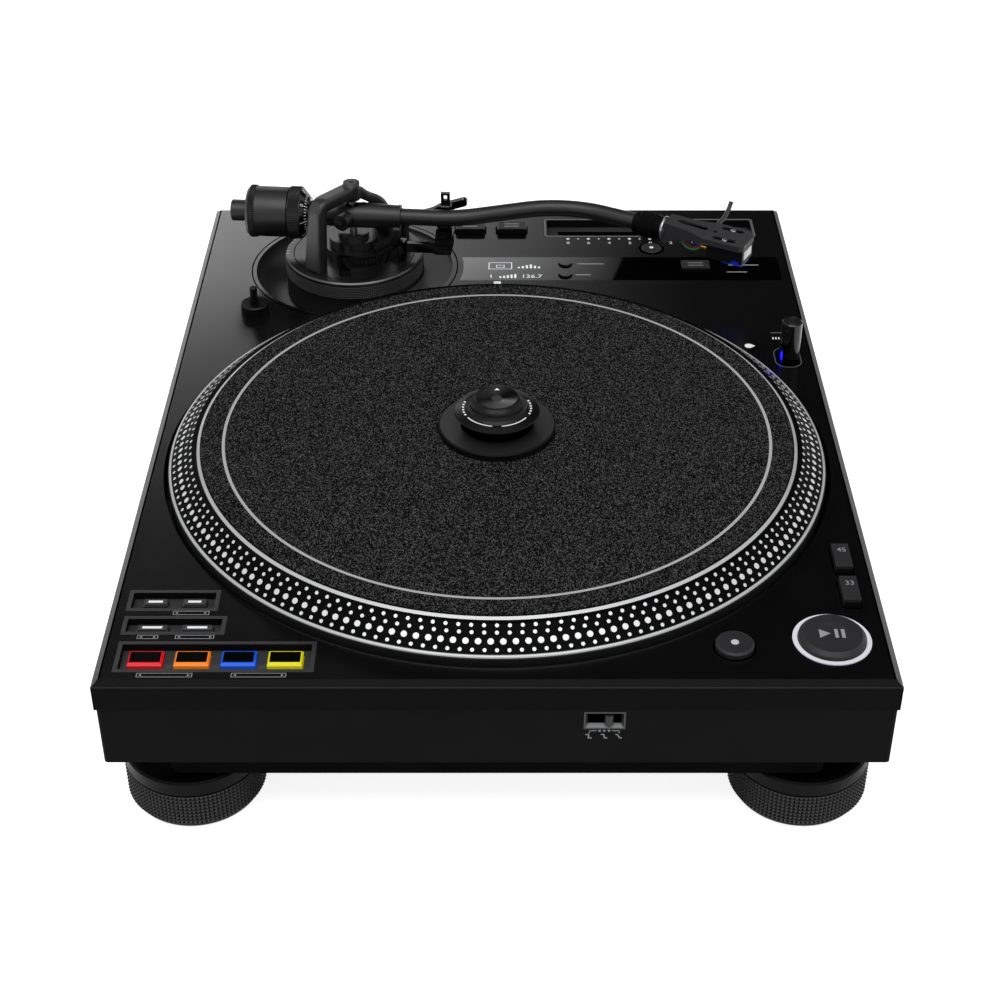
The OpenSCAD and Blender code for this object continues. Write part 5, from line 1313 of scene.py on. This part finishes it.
@dataclass
class Tonearm:
    """Arm base, arm, headshell and cartridge."""

    head_deg: float = -28.5
    tube_end: Point = (78.85, 142.23)
    ring_knurl: Knurl = Knurl(40.6, (DECK + 0.2, DECK + 7.8), around=220, rows=7, depth=0.4)
    collar_knurl: Knurl = Knurl(7.42, (6.2, 15.7), around=40, rows=8, depth=0.3)
    weight_r: float = 15.0
    weight_ribs: Point = (-59.7, -56.3)
    dial_ribs: Point = (-36.3, -29.6)
    rib: float = 0.25
    dial_slope: Point = (5.8, 4.9)
    lead_pitch: float = 3.0

    def dress(self) -> None:
        """Gives the arm's CAD nodes their finishes."""
        dress(Paint.ARM, "arm_housing", "arm_tube", "counterweight", "lifter_bar", "anti_skate_dial")
        dress(Paint.SATIN, "arm_base", "height_ring")
        dress(Paint.ARCH, "arm_arch")
        dress(Paint.GLOSS, "tracking_dial", "cue_lever", "arm_rest", "arm_clip")
        dress(Paint.MATT, "cartridge")
        dress(Paint.ANODISED, "headshell")
        dress(Paint.COLLAR, "headshell_collar")
        dress(Paint.STEEL, "gimbal")
        dress(Paint.STYLUS, "stylus")

    def leads(self) -> None:
        """Gives each cartridge lead its own colour."""
        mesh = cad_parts["cartridge_leads"].data
        mesh.materials.clear()
        for finish in Paint.LEADS:
            mesh.materials.append(finish.material())
        back = Matrix.Translation((-self.tube_end[0] * MM, -self.tube_end[1] * MM, 0))
        turn = Matrix.Rotation(math.radians(-self.head_deg), 4, "Z") @ back
        last = len(Paint.LEADS) - 1
        for p in mesh.polygons:
            row = int((turn @ p.center).y / MM // self.lead_pitch) + 2
            p.material_index = min(last, max(0, row))

    def arm_place(self) -> Matrix:
        """Returns the frame of the resting arm: its origin at the pivot, its first axis along the tube."""
        return Matrix.Translation((*PIVOT, ARM_Z)) @ Matrix.Rotation(math.radians(ARM_YAW), 4, "Z")

    def head_place(self) -> Matrix:
        """Returns the frame of the headshell: its origin at the tube's end."""
        return Matrix.Translation((*self.tube_end, ARM_Z)) @ Matrix.Rotation(math.radians(self.head_deg), 4, "Z")

    def knurls(self) -> None:
        """Adds the knurls of the height ring, its upper sides in a painted highlight, and of the counterweight, force
        dial and collar.
        """
        # The upper sides take a painted highlight; the others keep the ring's own colour.
        for part, sides, finish in (("shade", Side.SHADE, Paint.SATIN), ("light", Side.LIGHT, Paint.KNURL)):
            ring = Shape()
            ring.knurl(self.ring_knurl, (*PIVOT, 0), Axis.UP, sides)
            ring.done(f"height_ring_{part}", "height_ring", finish, "arm_black")
        for piece, body, ends in (
            ("counterweight_ribs", "counterweight", self.weight_ribs),
            ("force_dial_ribs", "tracking_dial", self.dial_ribs),
        ):
            ribs = Shape(self.arm_place())
            ribs.ribs(self.weight_r, ends, 90, self.rib)
            ribs.done(piece, body, Paint.RIB, "arm_black")
        collar = Shape(self.head_place())
        collar.knurl(self.collar_knurl, ORIGIN, Axis.ALONG, Side.ALL)
        collar.done("collar_knurl", "headshell_collar", Paint.COLLAR, "shell_black")

    def marks(self) -> None:
        """Adds scale marks on the height ring and the force dial."""
        scale, force, steps = Shape(), Shape(), 40
        for i in range(19):
            a, outer = 95 + 5 * i, 39.6 if i % 3 else 40.1
            scale.ring(PIVOT, 38.2, outer, DECK + 10.5 + INK_LIFT, span=(a - 0.4, a + 0.4), count=1)
        scale.done("height_marks", "height_ring", Paint.INK, "light_ring")
        lean = Matrix.Translation((-26.2, 0, 11.4)) @ Matrix.Rotation(math.atan2(*self.dial_slope), 4, "Y")
        for i in range(steps):
            force.place = self.arm_place() @ Matrix.Rotation(2 * math.pi * i / steps, 4, "X") @ lean
            force.bar((0.0, 0), (1.5 if i % 5 else 2.6, 0.32), 0)
            if i % 5 == 0:
                force.digits(str(i // 10), 2.4, (-2.7, 0, 0), Matrix.Rotation(math.pi / 2, 4, "Z"))
        force.done("force_marks", "tracking_dial", Paint.INK, "light_ring")

    def head(self) -> None:
        """Adds the headshell's ring, screws and slots."""
        bright, slots = Shape(self.head_place()), Shape(self.head_place())
        bright.lathe([(7.05, 20.0), (7.26, 20.2), (7.26, 21.3), (7.05, 21.5)], ORIGIN, Axis.ALONG, 48)
        for y in (-6.0, 7.0):
            bright.lathe([(1.6, 4.55), (1.6, 5.2), (1.4, 5.4), (0.02, 5.5)], (60.0, y, 0), Axis.UP, 24)
        bright.done("headshell_screws", "tonearm", Paint.STEEL, "steel", smooth=True)
        turn = [math.radians(15 * i) for i in range(13)]
        rear, left, right = (30.2, 45.0, 1.0, 1.7, 5.0), (54.6, 65.1, -6.0, 1.6, 4.5), (54.6, 65.1, 7.0, 1.6, 4.5)
        for first, last, y, half, z in (rear, left, right):
            loop = [(last + half * math.sin(a), y - half * math.cos(a)) for a in turn]
            slots.flat(loop + [(first - half * math.sin(a), y + half * math.cos(a)) for a in turn], z)
        slots.done("headshell_slots", "tonearm", Paint.GAP, "shell_black")

    def cartridge(self) -> None:
        """Adds the cartridge's pale front and its pins."""
        front, pins = Shape(self.head_place()), Shape(self.head_place())
        front.box((69.5, -5.4, -5.4), (72.5, 5.4, -0.2), 0.5)
        front.done("cartridge_front", "tonearm", Paint.SHELL_WHITE, "cartridge_black")
        for y in (-4.5, -1.5, 1.5, 4.5):
            pins.lathe([(0.85, 45.6), (1.25, 45.9), (1.25, 49.2), (0.85, 49.5)], (0, y, -2.8), Axis.ALONG, 12)
        pins.done("cartridge_pins", "tonearm", Paint.GOLD, "bearing_brass", smooth=True)

    def build(self) -> None:
        """Dresses the arm and adds its pieces."""
        self.dress()
        self.leads()
        self.knurls()
        self.marks()
        self.head()
        self.cartridge()


@dataclass
class Rear:
    """Coloured rims of the rear sockets."""

    face: float = 209.9
    height: float = 66.0

    def build(self) -> None:
        """Adds the rims of the audio jacks."""
        back = Matrix.Rotation(-math.pi / 2, 4, "X")
        for name, x, finish in (("left", 38.0, Paint.JACK_WHITE), ("right", 56.0, Paint.JACK_RED)):
            rim = Shape(Matrix.Translation((x, self.face, self.height)) @ back)
            rim.lathe([(4.2, 0.02), (5.6, 0.02), (5.6, 1.2), (4.2, 1.2)], ORIGIN, Axis.UP, 32)
            rim.done(f"jack_rim_{name}", "chassis", finish, "cabinet_black")


def main() -> None:
    """Builds the studio and dresses the player."""
    logging.basicConfig(level=logging.INFO, format="%(name)s: %(message)s")
    Studio().build()
    for assembly in (Body(), Platter(), Controls(), Tonearm(), Rear()):
        assembly.build()
        LOG.info("%s built", type(assembly).__name__)
    scene = bpy.context.scene
    scene.view_settings.view_transform = "Standard"


if __name__ == "__main__":
    main()
